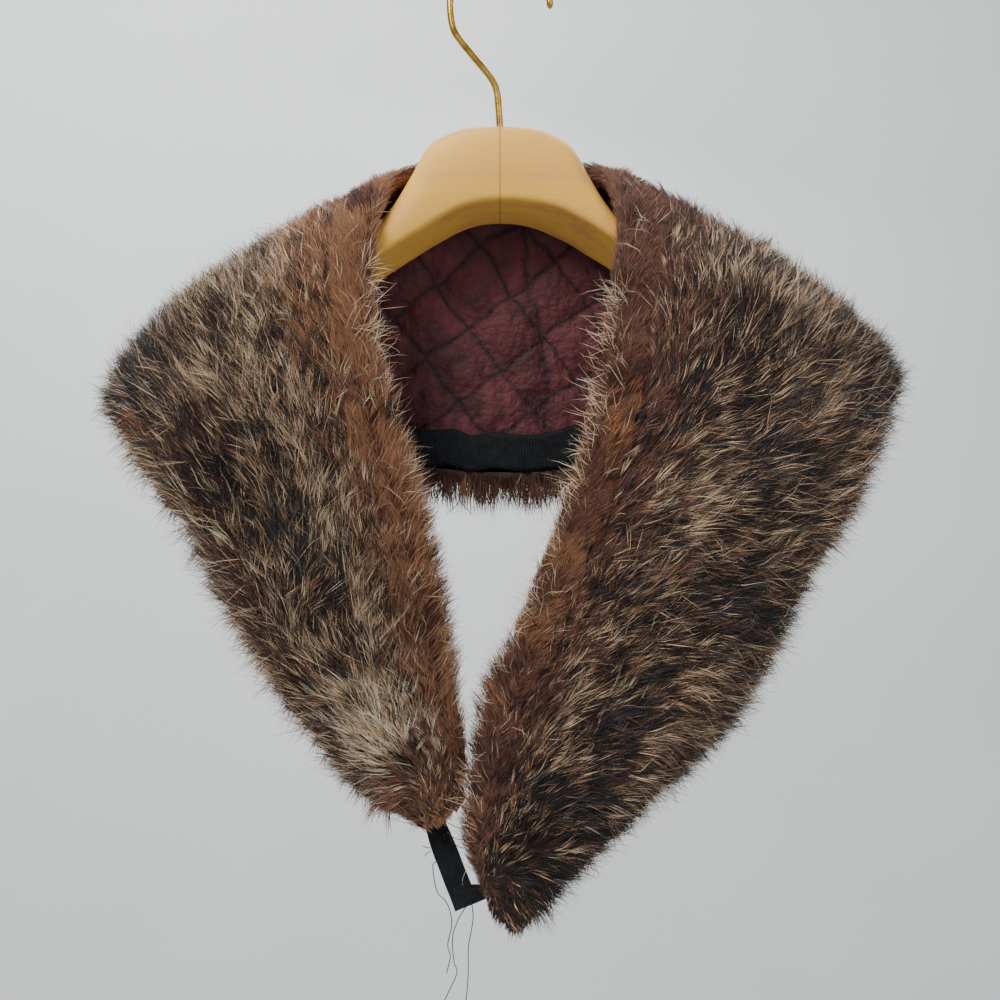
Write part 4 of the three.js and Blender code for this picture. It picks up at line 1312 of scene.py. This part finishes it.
# %% Finish of the thread
thread_finish, thread_tree, thread_shader = start_finish("black_cotton", 0.8, Sheen_Weight=0.1)
thread_place = add(thread_tree, "ShaderNodeTexCoord").outputs["Object"]
thread_twist = noise(thread_tree, thread_place, 2200.0, 2.0)
thread_tone = ramp(
    thread_tree, thread_twist, [(0.35, linear("0c0a0a")), (0.7, linear("1e1817"))]
)
thread_tree.links.new(thread_tone, thread_shader.inputs["Base Color"])
print(thread_finish.name, len(thread_tree.nodes), "nodes")


# %% A round wire along a path
def walk_path(points, steps):
    """Points evenly spaced along a smooth line through the given ones, in millimetres."""
    points = np.array(points, float)
    fine = smooth_line(points, np.linspace(0, len(points) - 1, 60 * len(points)))
    walked = np.concatenate([[0], np.cumsum(np.linalg.norm(np.diff(fine, axis=0), axis=1))])
    even = np.linspace(0, walked[-1], steps)
    return np.stack([np.interp(even, walked, fine[:, k]) for k in range(3)], axis=1), walked[-1]


def round_wire(path, radius, sides, round_end=0):
    """A closed round wire along a path, its ends drawn in over a few rings."""
    ahead = unit(np.gradient(path, axis=0))
    level = unit(np.cross(ahead, np.array([0.0, 1.0, 0.013])))
    other = np.cross(ahead, level)
    thick = np.full(len(path), float(radius))
    for ring in range(round_end):
        share = math.sqrt(max(0.02, 1 - ((round_end - ring) / round_end) ** 2))
        thick[ring] = thick[len(path) - 1 - ring] = radius * share

    def wire_place(u, v):
        ring = np.rint(u * (len(path) - 1)).astype(int)
        turn = v * 2 * math.pi
        out = level[ring] * np.cos(turn)[:, None] + other[ring] * np.sin(turn)[:, None]
        return path[ring] + out * thick[ring][:, None]

    made = cut_grid(len(path) - 1, sides, wire_place)[0]
    bmesh.ops.remove_doubles(made, verts=made.verts[:], dist=1e-6)
    open_edges = [edge for edge in made.edges if edge.is_boundary]
    bmesh.ops.holes_fill(made, edges=open_edges, sides=sides + 1)
    bmesh.ops.recalc_face_normals(made, faces=made.faces[:])
    return made


straight = walk_path([(0, 0, 0), (5, 0, 0), (10, 0, 0)], 9)[1]
print("a straight path of 10 mm measures", round(straight, 2), "mm")


# %% Short threads joined into one piece
def joined_threads(name, routes, thickness):
    """Short threads along several routes in millimetres, as one piece."""
    made = bmesh.new()
    for route in routes:
        wire = round_wire(walk_path(route, 10)[0], thickness / 2, 6, 1)
        kept = bpy.data.meshes.new("wire")
        wire.to_mesh(kept)
        wire.free()
        made.from_mesh(kept)
        bpy.data.meshes.remove(kept)
    return finish_piece(name, made, thread_finish)


print("thread and wire ready")

# %% [markdown]
# ## Ribbons
# A dark ribbed ribbon, gathered as it is sewn, covers the raw edge between lining and hem. The
# same ribbon binds both tips and makes the folded closing tab. Its ribs run across it, which the
# cloth's own map gives for free.

# %% Finish of the ribbon
ribbon_finish, ribbon_tree, ribbon_shader = start_finish(
    "ribbed_ribbon", 0.7, Specular_IOR_Level=0.22, Sheen_Weight=0.06, Sheen_Roughness=0.4
)
ribbon_map = add(ribbon_tree, "ShaderNodeUVMap", uv_map="cloth").outputs["UV"]
ribbon_parts = add(ribbon_tree, "ShaderNodeSeparateXYZ", {"Vector": ribbon_map})
RIB = 0.9 * MM
ribbon_rib = maths(
    ribbon_tree,
    "SINE",
    maths(ribbon_tree, "MULTIPLY", ribbon_parts.outputs["X"], 2 * math.pi / RIB),
)
ribbon_wear = noise(ribbon_tree, ribbon_map, 300.0, 4.0)
ribbon_mix = maths(
    ribbon_tree, "ADD", maths(ribbon_tree, "MULTIPLY", ribbon_rib, 0.16), ribbon_wear
)
ribbon_tone = ramp(
    ribbon_tree,
    ribbon_mix,
    [(0.3, linear("06080a")), (0.55, linear("0e1216")), (0.8, linear("1c2228"))],
)
ribbon_tree.links.new(ribbon_tone, ribbon_shader.inputs["Base Color"])
ribbon_bump = add(ribbon_tree, "ShaderNodeBump", {"Height": ribbon_mix, "Distance": 0.0005})
ribbon_tree.links.new(ribbon_bump.outputs["Normal"], ribbon_shader.inputs["Normal"])
print(ribbon_finish.name, len(ribbon_tree.nodes), "nodes")

# %% Lay the hem ribbons
RIBBON_FROM, RIBBON_WIDE, RIBBON_THICKNESS = 0.815, 0.108, 0.5
RIBBON_THREAD = (
    ((-22.9, 18.6, -262), (-22.5, 17.8, -272), (-21.8, 17.4, -281), (-24.8, 17.2, -285.2),
     (-29.2, 17, -288.5)),
    ((-21.6, 17.6, -280), (-20.6, 17.4, -282.4), (-17.8, 17.2, -285.4), (-15, 17, -289)),
)
for name, first, last, columns, node in (
    ("ribbon_left", LEFT_TIP + 0.05, LEFT_RIDGE - SEAM, 150, "hem_ribbon_left"),
    ("ribbon_back", LEFT_RIDGE + SEAM, RIGHT_RIDGE - SEAM, 190, "hem_ribbon_back"),
    ("ribbon_right", RIGHT_RIDGE + SEAM, RIGHT_TIP - 0.05, 170, "hem_ribbon_right"),
):

    def ribbon_place(u, v, a=first, b=last):
        along, across = a + (b - a) * u, RIBBON_FROM + RIBBON_WIDE * v
        walked = skin_point(along, np.full(len(along), 0.87)) @ np.array([1.0, 0.3, 0.6])
        folds = 1.0 * np.sin(walked * 2 * math.pi / 8.0 + 1.8 * np.sin(v * 2 + walked / 19))
        across = across + 0.006 * np.sin(walked / 5.3 + 1.3 * np.sin(walked / 13))
        return over_skin(along, across, -5.0 + folds * (0.5 + 0.5 * v))

    cut, size = cut_grid(columns, 8, ribbon_place)
    face_out(cut, to_wearer)
    thicken(cut, RIBBON_THICKNESS)
    ribbon = finish_piece(name, cut, ribbon_finish, (node,))
    loose = [joined_threads("ribbon_thread", RIBBON_THREAD, 0.4)] if name == "ribbon_back" else []

# %% [markdown]
# ## Bound tips and the closing tab
# Each tip ends in a short folded binding. The tab is a strip folded from the same ribbon, sewn at
# its head behind the left tip and hanging to the right, where it widens into a foot that is
# caught under the other binding.

# %% Bindings at the tips
def tip_stitches():
    """Routes of the stitches that whip the left tip's fur to its binding."""
    routes = []
    tip, inside = np.array([0.0]), np.array([0.1])
    middle = np.array([0.5])
    away = unit(skin_point(tip, middle) - skin_point(tip + 0.2, middle))[0]
    for across in np.linspace(0.1, 0.84, 13):
        at = np.array([across])
        lean = np.array([0.025])
        routes.append(
            [
                over_skin(tip, at + lean, np.array([-3.6]))[0] + 2.2 * away,
                over_skin(tip, at + 0.5 * lean, np.array([0.0]))[0] + 1.5 * away,
                over_skin(tip, at, np.array([3.6]))[0] + 1.0 * away,
                over_skin(inside, at, np.array([5.6]))[0],
            ]
        )
    return routes


BINDING_ROWS = ((0.0, 4.6), (0.35, 1.8), (0.65, -2.0), (1.0, -7.5))
FOLDED_THICKNESS = 0.9
for name, tip, inwards, reach, node in (
    ("binding_left", LEFT_TIP, 1, 0.0, "tip_binding_left"),
    ("binding_right", RIGHT_TIP, -1, 0.3, "tip_binding_right"),
):

    def binding_place(u, v, tip=tip, inwards=inwards, reach=reach):
        across = -reach + (0.98 + reach) * u
        flat_tip, flat_in = np.full(len(u), tip), np.full(len(u), tip + inwards * 0.2)
        middle = np.full(len(u), 0.5)
        away = unit(skin_point(flat_tip, middle) - skin_point(flat_in, middle))
        beyond = np.interp(v, [r[0] for r in BINDING_ROWS], [r[1] for r in BINDING_ROWS])
        ruck = 0.25 * np.sin(u * 31 + v * 4)
        start = over_skin(flat_tip, across, -4.4 + ruck + 0.5 * np.sin(v * math.pi))
        return start + away * (beyond + 0.5 * np.sin(u * 12))[:, None]

    cut, size = cut_grid(44, 14, binding_place)
    face_out(cut, to_front)
    thicken(cut, FOLDED_THICKNESS)
    binding = finish_piece(name, cut, ribbon_finish, (node,))
    sewn = [joined_threads("tip_stitches", tip_stitches(), 0.42)] if name == "binding_left" else []

# %% The closing tab
TAB_HEAD, TAB_FOOT = np.array([-35.6, -4.1, -447.0]), np.array([-18.2, -10.8, -489.0])
tab_down = TAB_FOOT - TAB_HEAD
tab_across = unit(np.array([-tab_down[2], 0.0, tab_down[0]]))
tab_back = unit(np.cross(tab_across, tab_down))
TAB_LEFT, TAB_RIGHT, TAB_FOOT_RIGHT = 5.0, 7.4, 16.0
TAB_ROWS = (
    (0, 3.6, 6.5), (0.2, 4.7, 7.2), (0.4, TAB_LEFT, TAB_RIGHT), (0.8, TAB_LEFT, TAB_RIGHT),
    (0.88, TAB_LEFT, TAB_FOOT_RIGHT), (1, TAB_LEFT, TAB_FOOT_RIGHT),
)
TACKS = (
    ((-28.6, -11.8, -444.2), (-25.5, -14, -445.2), (-21.5, -19, -445.8), (-17, -24, -444.5)),
    ((-27.8, -6.3, -451.2), (-24.5, -12, -452.3), (-20.5, -19, -451.8), (-16.5, -24, -450)),
    ((-26.6, -6.5, -453.6), (-23.8, -11, -455.8), (-20, -18, -456), (-17, -23, -455)),
    ((-35.4, -6.9, -459.8), (-38.2, -7.2, -459.2), (-40.2, -7.3, -458.4)),
    ((-35.2, -7, -461.2), (-37.6, -7.4, -462.3), (-39.2, -7.5, -464.2)),
)


def tab_place(u, v):
    """The tab's face, from head to foot along v and across it along u."""
    left = np.interp(v, [r[0] for r in TAB_ROWS], [r[1] for r in TAB_ROWS])
    right = np.interp(v, [r[0] for r in TAB_ROWS], [r[2] for r in TAB_ROWS])
    sideways = -left + (left + right) * u
    crease = 0.3 * np.sin(v * 17 + u * 2) + 0.25 * np.sin(u * 9)
    flat = TAB_HEAD + v[:, None] * tab_down + sideways[:, None] * tab_across
    return flat + crease[:, None] * tab_back


cut, size = cut_grid(24, 60, tab_place)
face_out(cut, to_front)
thicken(cut, FOLDED_THICKNESS)
tab = finish_piece("folded_tab", cut, ribbon_finish, ("closing_tab",))
joined_threads("tacking_threads", TACKS, 0.4)

# %% [markdown]
# ## Sewing threads
# Three ends of black cotton hang from the tab where it was sewn. They are real cords with their
# own length: limp, bare at the end and hanging free.

# %% Hang the threads
THREADS = (
    ("thread_left", 0.42, -0.95, ((-34.4, -8.3, -468.2), (-33.7, -9.2, -475),
     (-31.9, -9.8, -481.6), (-28, -10.2, -485.6), (-25.7, -10.4, -490.5), (-24.7, -10.5, -498),
     (-26.7, -10.6, -508), (-25.4, -10.6, -514), (-27.3, -10.6, -522.5))),
    ("thread_middle", 0.97, 0.7, ((-18.7, -12.2, -490), (-21.9, -12.2, -496), (-24.2, -12, -504),
     (-23.5, -12, -515.6), (-21.9, -11.8, -521), (-23.5, -11.6, -526), (-27.8, -11.5, -535),
     (-30.2, -11.4, -541))),
    ("thread_right", 0.96, 0.95, ((-13.7, -12.2, -492.5), (-14.4, -12.2, -499),
     (-16.1, -12, -508.5), (-16.2, -12, -518), (-16.4, -11.8, -526), (-17.2, -11.6, -535),
     (-17.8, -11.6, -543.5))),
)
THREAD_DIAMETER = 0.5
for name, down, sideways, route in THREADS:
    start = TAB_HEAD + down * tab_down + sideways * TAB_LEFT * tab_across - 1.35 * tab_back
    path, length = walk_path([start, *route], 60)
    wire = round_wire(path, THREAD_DIAMETER / 2, 8)
    cotton = finish_piece(f"cotton_{name[7:]}", wire, thread_finish, (name,))
    print(name, "is", round(length, 1), "mm long")

# %% [markdown]
# ## The wooden hanger
# The shaped hanger is cut from two halves of pale beech that meet in the middle. Its section
# is a rounded hump with a flatter underside. The section is known at fourteen places, and a grid
# wrapped round those sections and closed along one edge gives each arm. The arms are not quite
# alike underneath, so each has its own small lifts.

# %% Sections of the hanger
HANGER_SECTIONS = np.array(
    [
        (0.15, 0, -86.3, -17, -129, 17, -133.5),
        (10, 0, -86.7, -17, -129.9, 17, -134.6),
        (20, 0, -88.1, -17, -132.6, 17, -138.2),
        (30, 0, -92, -17.5, -138, 16.5, -145),
        (38, -1, -98.5, -18, -143, 16, -150),
        (46, -2, -113, -18.5, -148, 14, -156),
        (55, -3, -128, -19, -154, 11, -162),
        (66, -4, -140, -20, -161, 8.5, -169),
        (84, -5, -148.7, -21, -173, 7, -180),
        (105, -6, -163, -21.5, -188, 6, -194),
        (128, -6.5, -180.5, -21, -206, 5, -211),
        (148, -6.5, -198, -19, -222, 3, -226),
        (160, -6.5, -211, -16.5, -232, 1, -235),
        (166, -6.5, -222, -13, -236, -1.5, -238),
    ],
    float,
)
LEFT_BACK_LIFT = np.array([0, 0.2, 0.8, 2.3, 2.5, 3, 2.5, 1.5, 0.5, 0, 0, 0, 0, 0])
RIGHT_BACK_LIFT = np.array([0, 0.4, 1.5, 3.8, 4.7, 5, 4.8, 3.6, 1.8, 0.5, 0, 0, 0, 0])
RIGHT_FRONT_LIFT = 1.25 * RIGHT_BACK_LIFT
LEFT_FRONT_LIFT = np.zeros(len(HANGER_SECTIONS))
FRONT_ROUNDING, BACK_ROUNDING = (4.4, 3.6), (2.2, 1.9)
print(len(HANGER_SECTIONS), "sections of the hanger")


# %% The outline of a section
def bowed(first, pull, last, steps):
    """Points on a bow from the first point to the last, drawn towards a third."""
    t = np.linspace(0, 1, steps, endpoint=False)[:, None]
    return (1 - t) ** 2 * first + 2 * t * (1 - t) * pull + t**2 * last


def hanger_ring(section):
    """The outline of one section, as (depth, height) points round it."""
    _, top_y, top_z, front_y, front_z, back_y, back_z, front_lift, back_lift = section
    height = top_z - front_z
    front_z, back_z = front_z + front_lift, back_z + back_lift
    front = np.array([front_y, front_z + FRONT_ROUNDING[1]])
    back = np.array([back_y, back_z + BACK_ROUNDING[1]])
    top = np.array([top_y, top_z])
    under_front = np.array([front_y + FRONT_ROUNDING[0], front_z])
    under_back = np.array([back_y - BACK_ROUNDING[0], back_z])
    middle = (under_front + under_back) / 2 + np.array([0, 0.4])
    return np.vstack(
        [
            bowed(front, np.array([front_y - 0.5, top_z - 0.18 * height]), top, 14),
            bowed(top, np.array([back_y + 0.5, top_z - 0.04 * height]), back, 14),
            bowed(back, np.array([back_y, back_z]), under_back, 4),
            bowed(under_back, middle, under_front, 8),
            bowed(under_front, np.array([front_y, front_z]), front, 6),
        ]
    )


def arm_sections(side):
    """The sections of one arm, with what its underside is lifted by at the front and the back."""
    front = RIGHT_FRONT_LIFT if side > 0 else LEFT_FRONT_LIFT
    back = RIGHT_BACK_LIFT if side > 0 else LEFT_BACK_LIFT
    return np.column_stack([HANGER_SECTIONS, front, back])


RING_POINTS = len(hanger_ring(arm_sections(1)[0]))
print(RING_POINTS, "points round a section")


# %% A grid round the sections
def hanger_place(side):
    """Places a grid round the sections of one arm."""

    def place(u, v):
        sections = smooth_line(arm_sections(side), u * (len(HANGER_SECTIONS) - 1))
        sections = np.round(sections, 5)
        points = np.empty((len(u), 3))
        known = {}
        for k, section in enumerate(sections):
            key = tuple(section)
            if key not in known:
                known[key] = hanger_ring(section)
            ring = known[key]
            spot = int(round(v[k] * RING_POINTS)) % RING_POINTS
            centre = ring.mean(axis=0)
            rounding = math.sqrt(max(0.12, 1 - max(0.0, (section[0] - 162) / 4.2) ** 2))
            y, z = centre + (ring[spot] - centre) * rounding
            points[k] = (side * section[0], y, z)
        return points

    return place


shoulder_end = hanger_place(-1)(np.array([1.0]), np.array([0.0]))[0]
print("shoulder end of the left arm, mm", shoulder_end.round(1))


# %% [markdown]
# Beech has a fine, nearly straight grain with small darker flecks. The grain runs along each arm,
# so the pattern is stretched that way, and a thin varnish leaves it softly glossy.

# %% Finish of the wood
wood_finish, wood_tree, wood_shader = start_finish(
    "varnished_beech", 0.5, Specular_IOR_Level=0.14, Coat_Weight=0.02, Coat_Roughness=0.3
)
wood_place = add(wood_tree, "ShaderNodeTexCoord").outputs["Object"]
wood_long = add(
    wood_tree, "ShaderNodeMapping", {"Vector": wood_place, "Scale": (0.1, 1.0, 1.0)}
).outputs["Vector"]
wood_grain = add(
    wood_tree,
    "ShaderNodeTexNoise",
    {"Vector": wood_long, "Scale": 420.0, "Detail": 6.0, "Roughness": 0.6, "Distortion": 0.4},
).outputs["Fac"]
wood_bands = noise(wood_tree, wood_long, 70.0, 2.0)
wood_mix = maths(
    wood_tree,
    "ADD",
    maths(wood_tree, "MULTIPLY", wood_grain, 0.4),
    maths(wood_tree, "MULTIPLY", wood_bands, 0.6),
)
wood_tone = ramp(
    wood_tree,
    wood_mix,
    [
        (0.3, linear("c29150")),
        (0.44, linear("d8a252")),
        (0.55, linear("dfa94b")),
        (0.72, linear("e6b250")),
    ],
)
wood_tree.links.new(wood_tone, wood_shader.inputs["Base Color"])
wood_bump = add(wood_tree, "ShaderNodeBump", {"Height": wood_grain, "Distance": 0.00012})
wood_tree.links.new(wood_bump.outputs["Normal"], wood_shader.inputs["Normal"])
print(wood_finish.name, len(wood_tree.nodes), "nodes")

# %% Shape the two arms
for name, side in (("hanger_arm_left", -1), ("hanger_arm_right", 1)):
    arm = cut_grid(72, RING_POINTS, hanger_place(side))[0]
    bmesh.ops.remove_doubles(arm, verts=arm.verts[:], dist=1e-6)
    open_edges = [edge for edge in arm.edges if edge.is_boundary]
    bmesh.ops.holes_fill(arm, edges=open_edges, sides=RING_POINTS + 1)
    bmesh.ops.recalc_face_normals(arm, faces=arm.faces[:])
    wooden = finish_piece(f"wooden_{name[7:]}", arm, wood_finish, (name,))
    for edge in wooden.data.edges:
        ends = [wooden.data.vertices[k].co.x for k in edge.vertices]
        edge.use_edge_sharp = max(abs(x) for x in ends) < 0.0002
    print(wooden.name, len(wooden.data.polygons), "faces")

# %% [markdown]
# ## The hook
# A brass wire is bent into a shank and a round crook. On the real hanger its lower end sits in a
# bore between the two halves, and here it simply runs down into the wood. It is drawn as one wire
# along its path, with the free end rounded over.

# %% Finish of the brass
brass_finish, brass_tree, brass_shader = start_finish("brass_wire", 0.24, Metallic=1.0)
brass_place = add(brass_tree, "ShaderNodeTexCoord").outputs["Object"]
brass_tarnish = noise(brass_tree, brass_place, 160.0, 5.0)
brass_tone = ramp(
    brass_tree,
    brass_tarnish,
    [(0.35, linear("a57e35")), (0.55, linear("cfa850")), (0.8, linear("e4c678"))],
)
brass_tree.links.new(brass_tone, brass_shader.inputs["Base Color"])
brass_drawn = noise(brass_tree, brass_place, 1400.0, 2.0)
brass_bump = add(brass_tree, "ShaderNodeBump", {"Height": brass_drawn, "Distance": 0.00006})
brass_tree.links.new(brass_bump.outputs["Normal"], brass_shader.inputs["Normal"])
print(brass_finish.name, len(brass_tree.nodes), "nodes")

# %% Bend the hook
SHANK = (
    (0, -109), (0, -90), (-0.8, -76), (-1.9, -67.5), (-5, -61), (-13, -51.2), (-21.4, -40.8),
    (-24.6, -34.6),
)
CROOK_RADIUS, CROOK_HEIGHT, WIRE_RADIUS = 26.0, -24.2, 1.8
crook = [
    (CROOK_RADIUS * math.cos(a), CROOK_HEIGHT + CROOK_RADIUS * math.sin(a))
    for a in np.linspace(math.pi, -0.05, 17)
]
hook_path, hook_length = walk_path([(x, 0, z) for x, z in (*SHANK, *crook)], 180)
hook_wire = round_wire(hook_path, WIRE_RADIUS, 20, 3)
finish_piece("brass_hook", hook_wire, brass_finish, ("hanger_hook",))
print("hook wire", round(hook_length), "mm long")

# %% [markdown]
# ## Room and light
# The stole hangs in front of a plain pale sweep, well behind it so that it can also be seen from
# the back. One large soft light stands high on the left, and a weaker one fills from the right.
# A third stands behind, a fourth brightens the sweep, and the sky gives the rest.

# %% Pale sweep
FLOOR, WALL, BEND = -2.0, 1.8, 0.7
sweep_path = [(-3.2, FLOOR), (0.0, FLOOR)]
for angle in np.linspace(0, math.pi / 2, 16):
    sweep_path.append((WALL - BEND + BEND * math.sin(angle), FLOOR + BEND - BEND * math.cos(angle)))
sweep_path.append((WALL, 2.6))
sweep = bmesh.new()
bmesh.ops.create_grid(sweep, x_segments=2, y_segments=len(sweep_path) - 1, size=0.5)
for vert in sweep.verts:
    depth, height = sweep_path[round((vert.co.y + 0.5) * (len(sweep_path) - 1))]
    vert.co = Vector((vert.co.x * 9, depth, height))
bmesh.ops.recalc_face_normals(sweep, faces=sweep.faces[:])
sweep_mesh = bpy.data.meshes.new("pale_sweep")
sweep.to_mesh(sweep_mesh)
sweep.free()
sweep_mesh.polygons.foreach_set("use_smooth", [True] * len(sweep_mesh.polygons))
wall_finish, wall_tree, wall_shader = start_finish("pale_paint", 0.9)
wall_place = add(wall_tree, "ShaderNodeTexCoord").outputs["Object"]
wall_grain = noise(wall_tree, wall_place, 2.0, 2.0)
wall_tone = ramp(wall_tree, wall_grain, [(0.3, linear("e2e5e5")), (0.7, linear("e9ebeb"))])
wall_tree.links.new(wall_tone, wall_shader.inputs["Base Color"])
sweep_mesh.materials.append(wall_finish)
pale_sweep = bpy.data.objects.new("pale_sweep", sweep_mesh)
bpy.context.scene.collection.objects.link(pale_sweep)
pale_sweep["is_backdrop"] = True
print("a sweep of", len(sweep_path), "rows")


# %% Lights
def soft_light(name, place, aim, size, power, tint):
    """A square soft light that looks at a point."""
    lamp = bpy.data.lights.new(name, "AREA")
    lamp.size, lamp.energy, lamp.color = size, power, tint
    light = bpy.data.objects.new(name, lamp)
    light.location = place
    light.rotation_euler = (Vector(aim) - Vector(place)).to_track_quat("-Z", "Y").to_euler()
    bpy.context.scene.collection.objects.link(light)
    light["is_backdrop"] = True


soft_light("key", (-0.8, -1.3, 1.0), (0, 0, -0.25), 0.7, 36, (1.0, 0.98, 0.95))
soft_light("fill", (1.2, -1.2, 0.2), (0, 0, -0.3), 1.2, 8, (0.95, 0.97, 1.0))
soft_light("behind", (0.3, 1.3, 1.0), (0, 0, -0.25), 0.9, 12, (1.0, 1.0, 1.0))
soft_light("wall", (-0.9, 0.3, 1.7), (-0.5, 1.8, 0.0), 1.5, 55, (1.0, 1.0, 1.0))
sky = bpy.data.worlds.new("studio")
sky.use_nodes = True
sky.node_tree.nodes["Background"].inputs["Color"].default_value = (0.86, 0.9, 0.95, 1)
sky.node_tree.nodes["Background"].inputs["Strength"].default_value = 0.55
bpy.context.scene.world = sky
print("four soft lights")

# %% [markdown]
# ## Size
# The dressed stole is meant to be as large as its imported model. Both boxes are kept with the
# triangle counts, and how far the dressed stole reaches past the model is printed.

# %% Size
counts = {
    piece.name: sum(len(face.vertices) - 2 for face in piece.data.polygons)
    for piece in bpy.context.scene.objects
    if piece.type == "MESH" and not piece.hide_render
}
print(sum(counts.values()), "triangles in all, most in", max(counts, key=counts.get))
low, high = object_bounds()
boxes = {"cad": [list(frame_low), list(frame_high)], "visual": [list(low), list(high)]}
boxes["triangles"] = [sum(counts.values()), max(counts.values())]
print("grown by, mm", [round((a - b) * 1000, 1) for a, b in zip(frame_low, low)],
      [round((b - a) * 1000, 1) for a, b in zip(frame_high, high)])
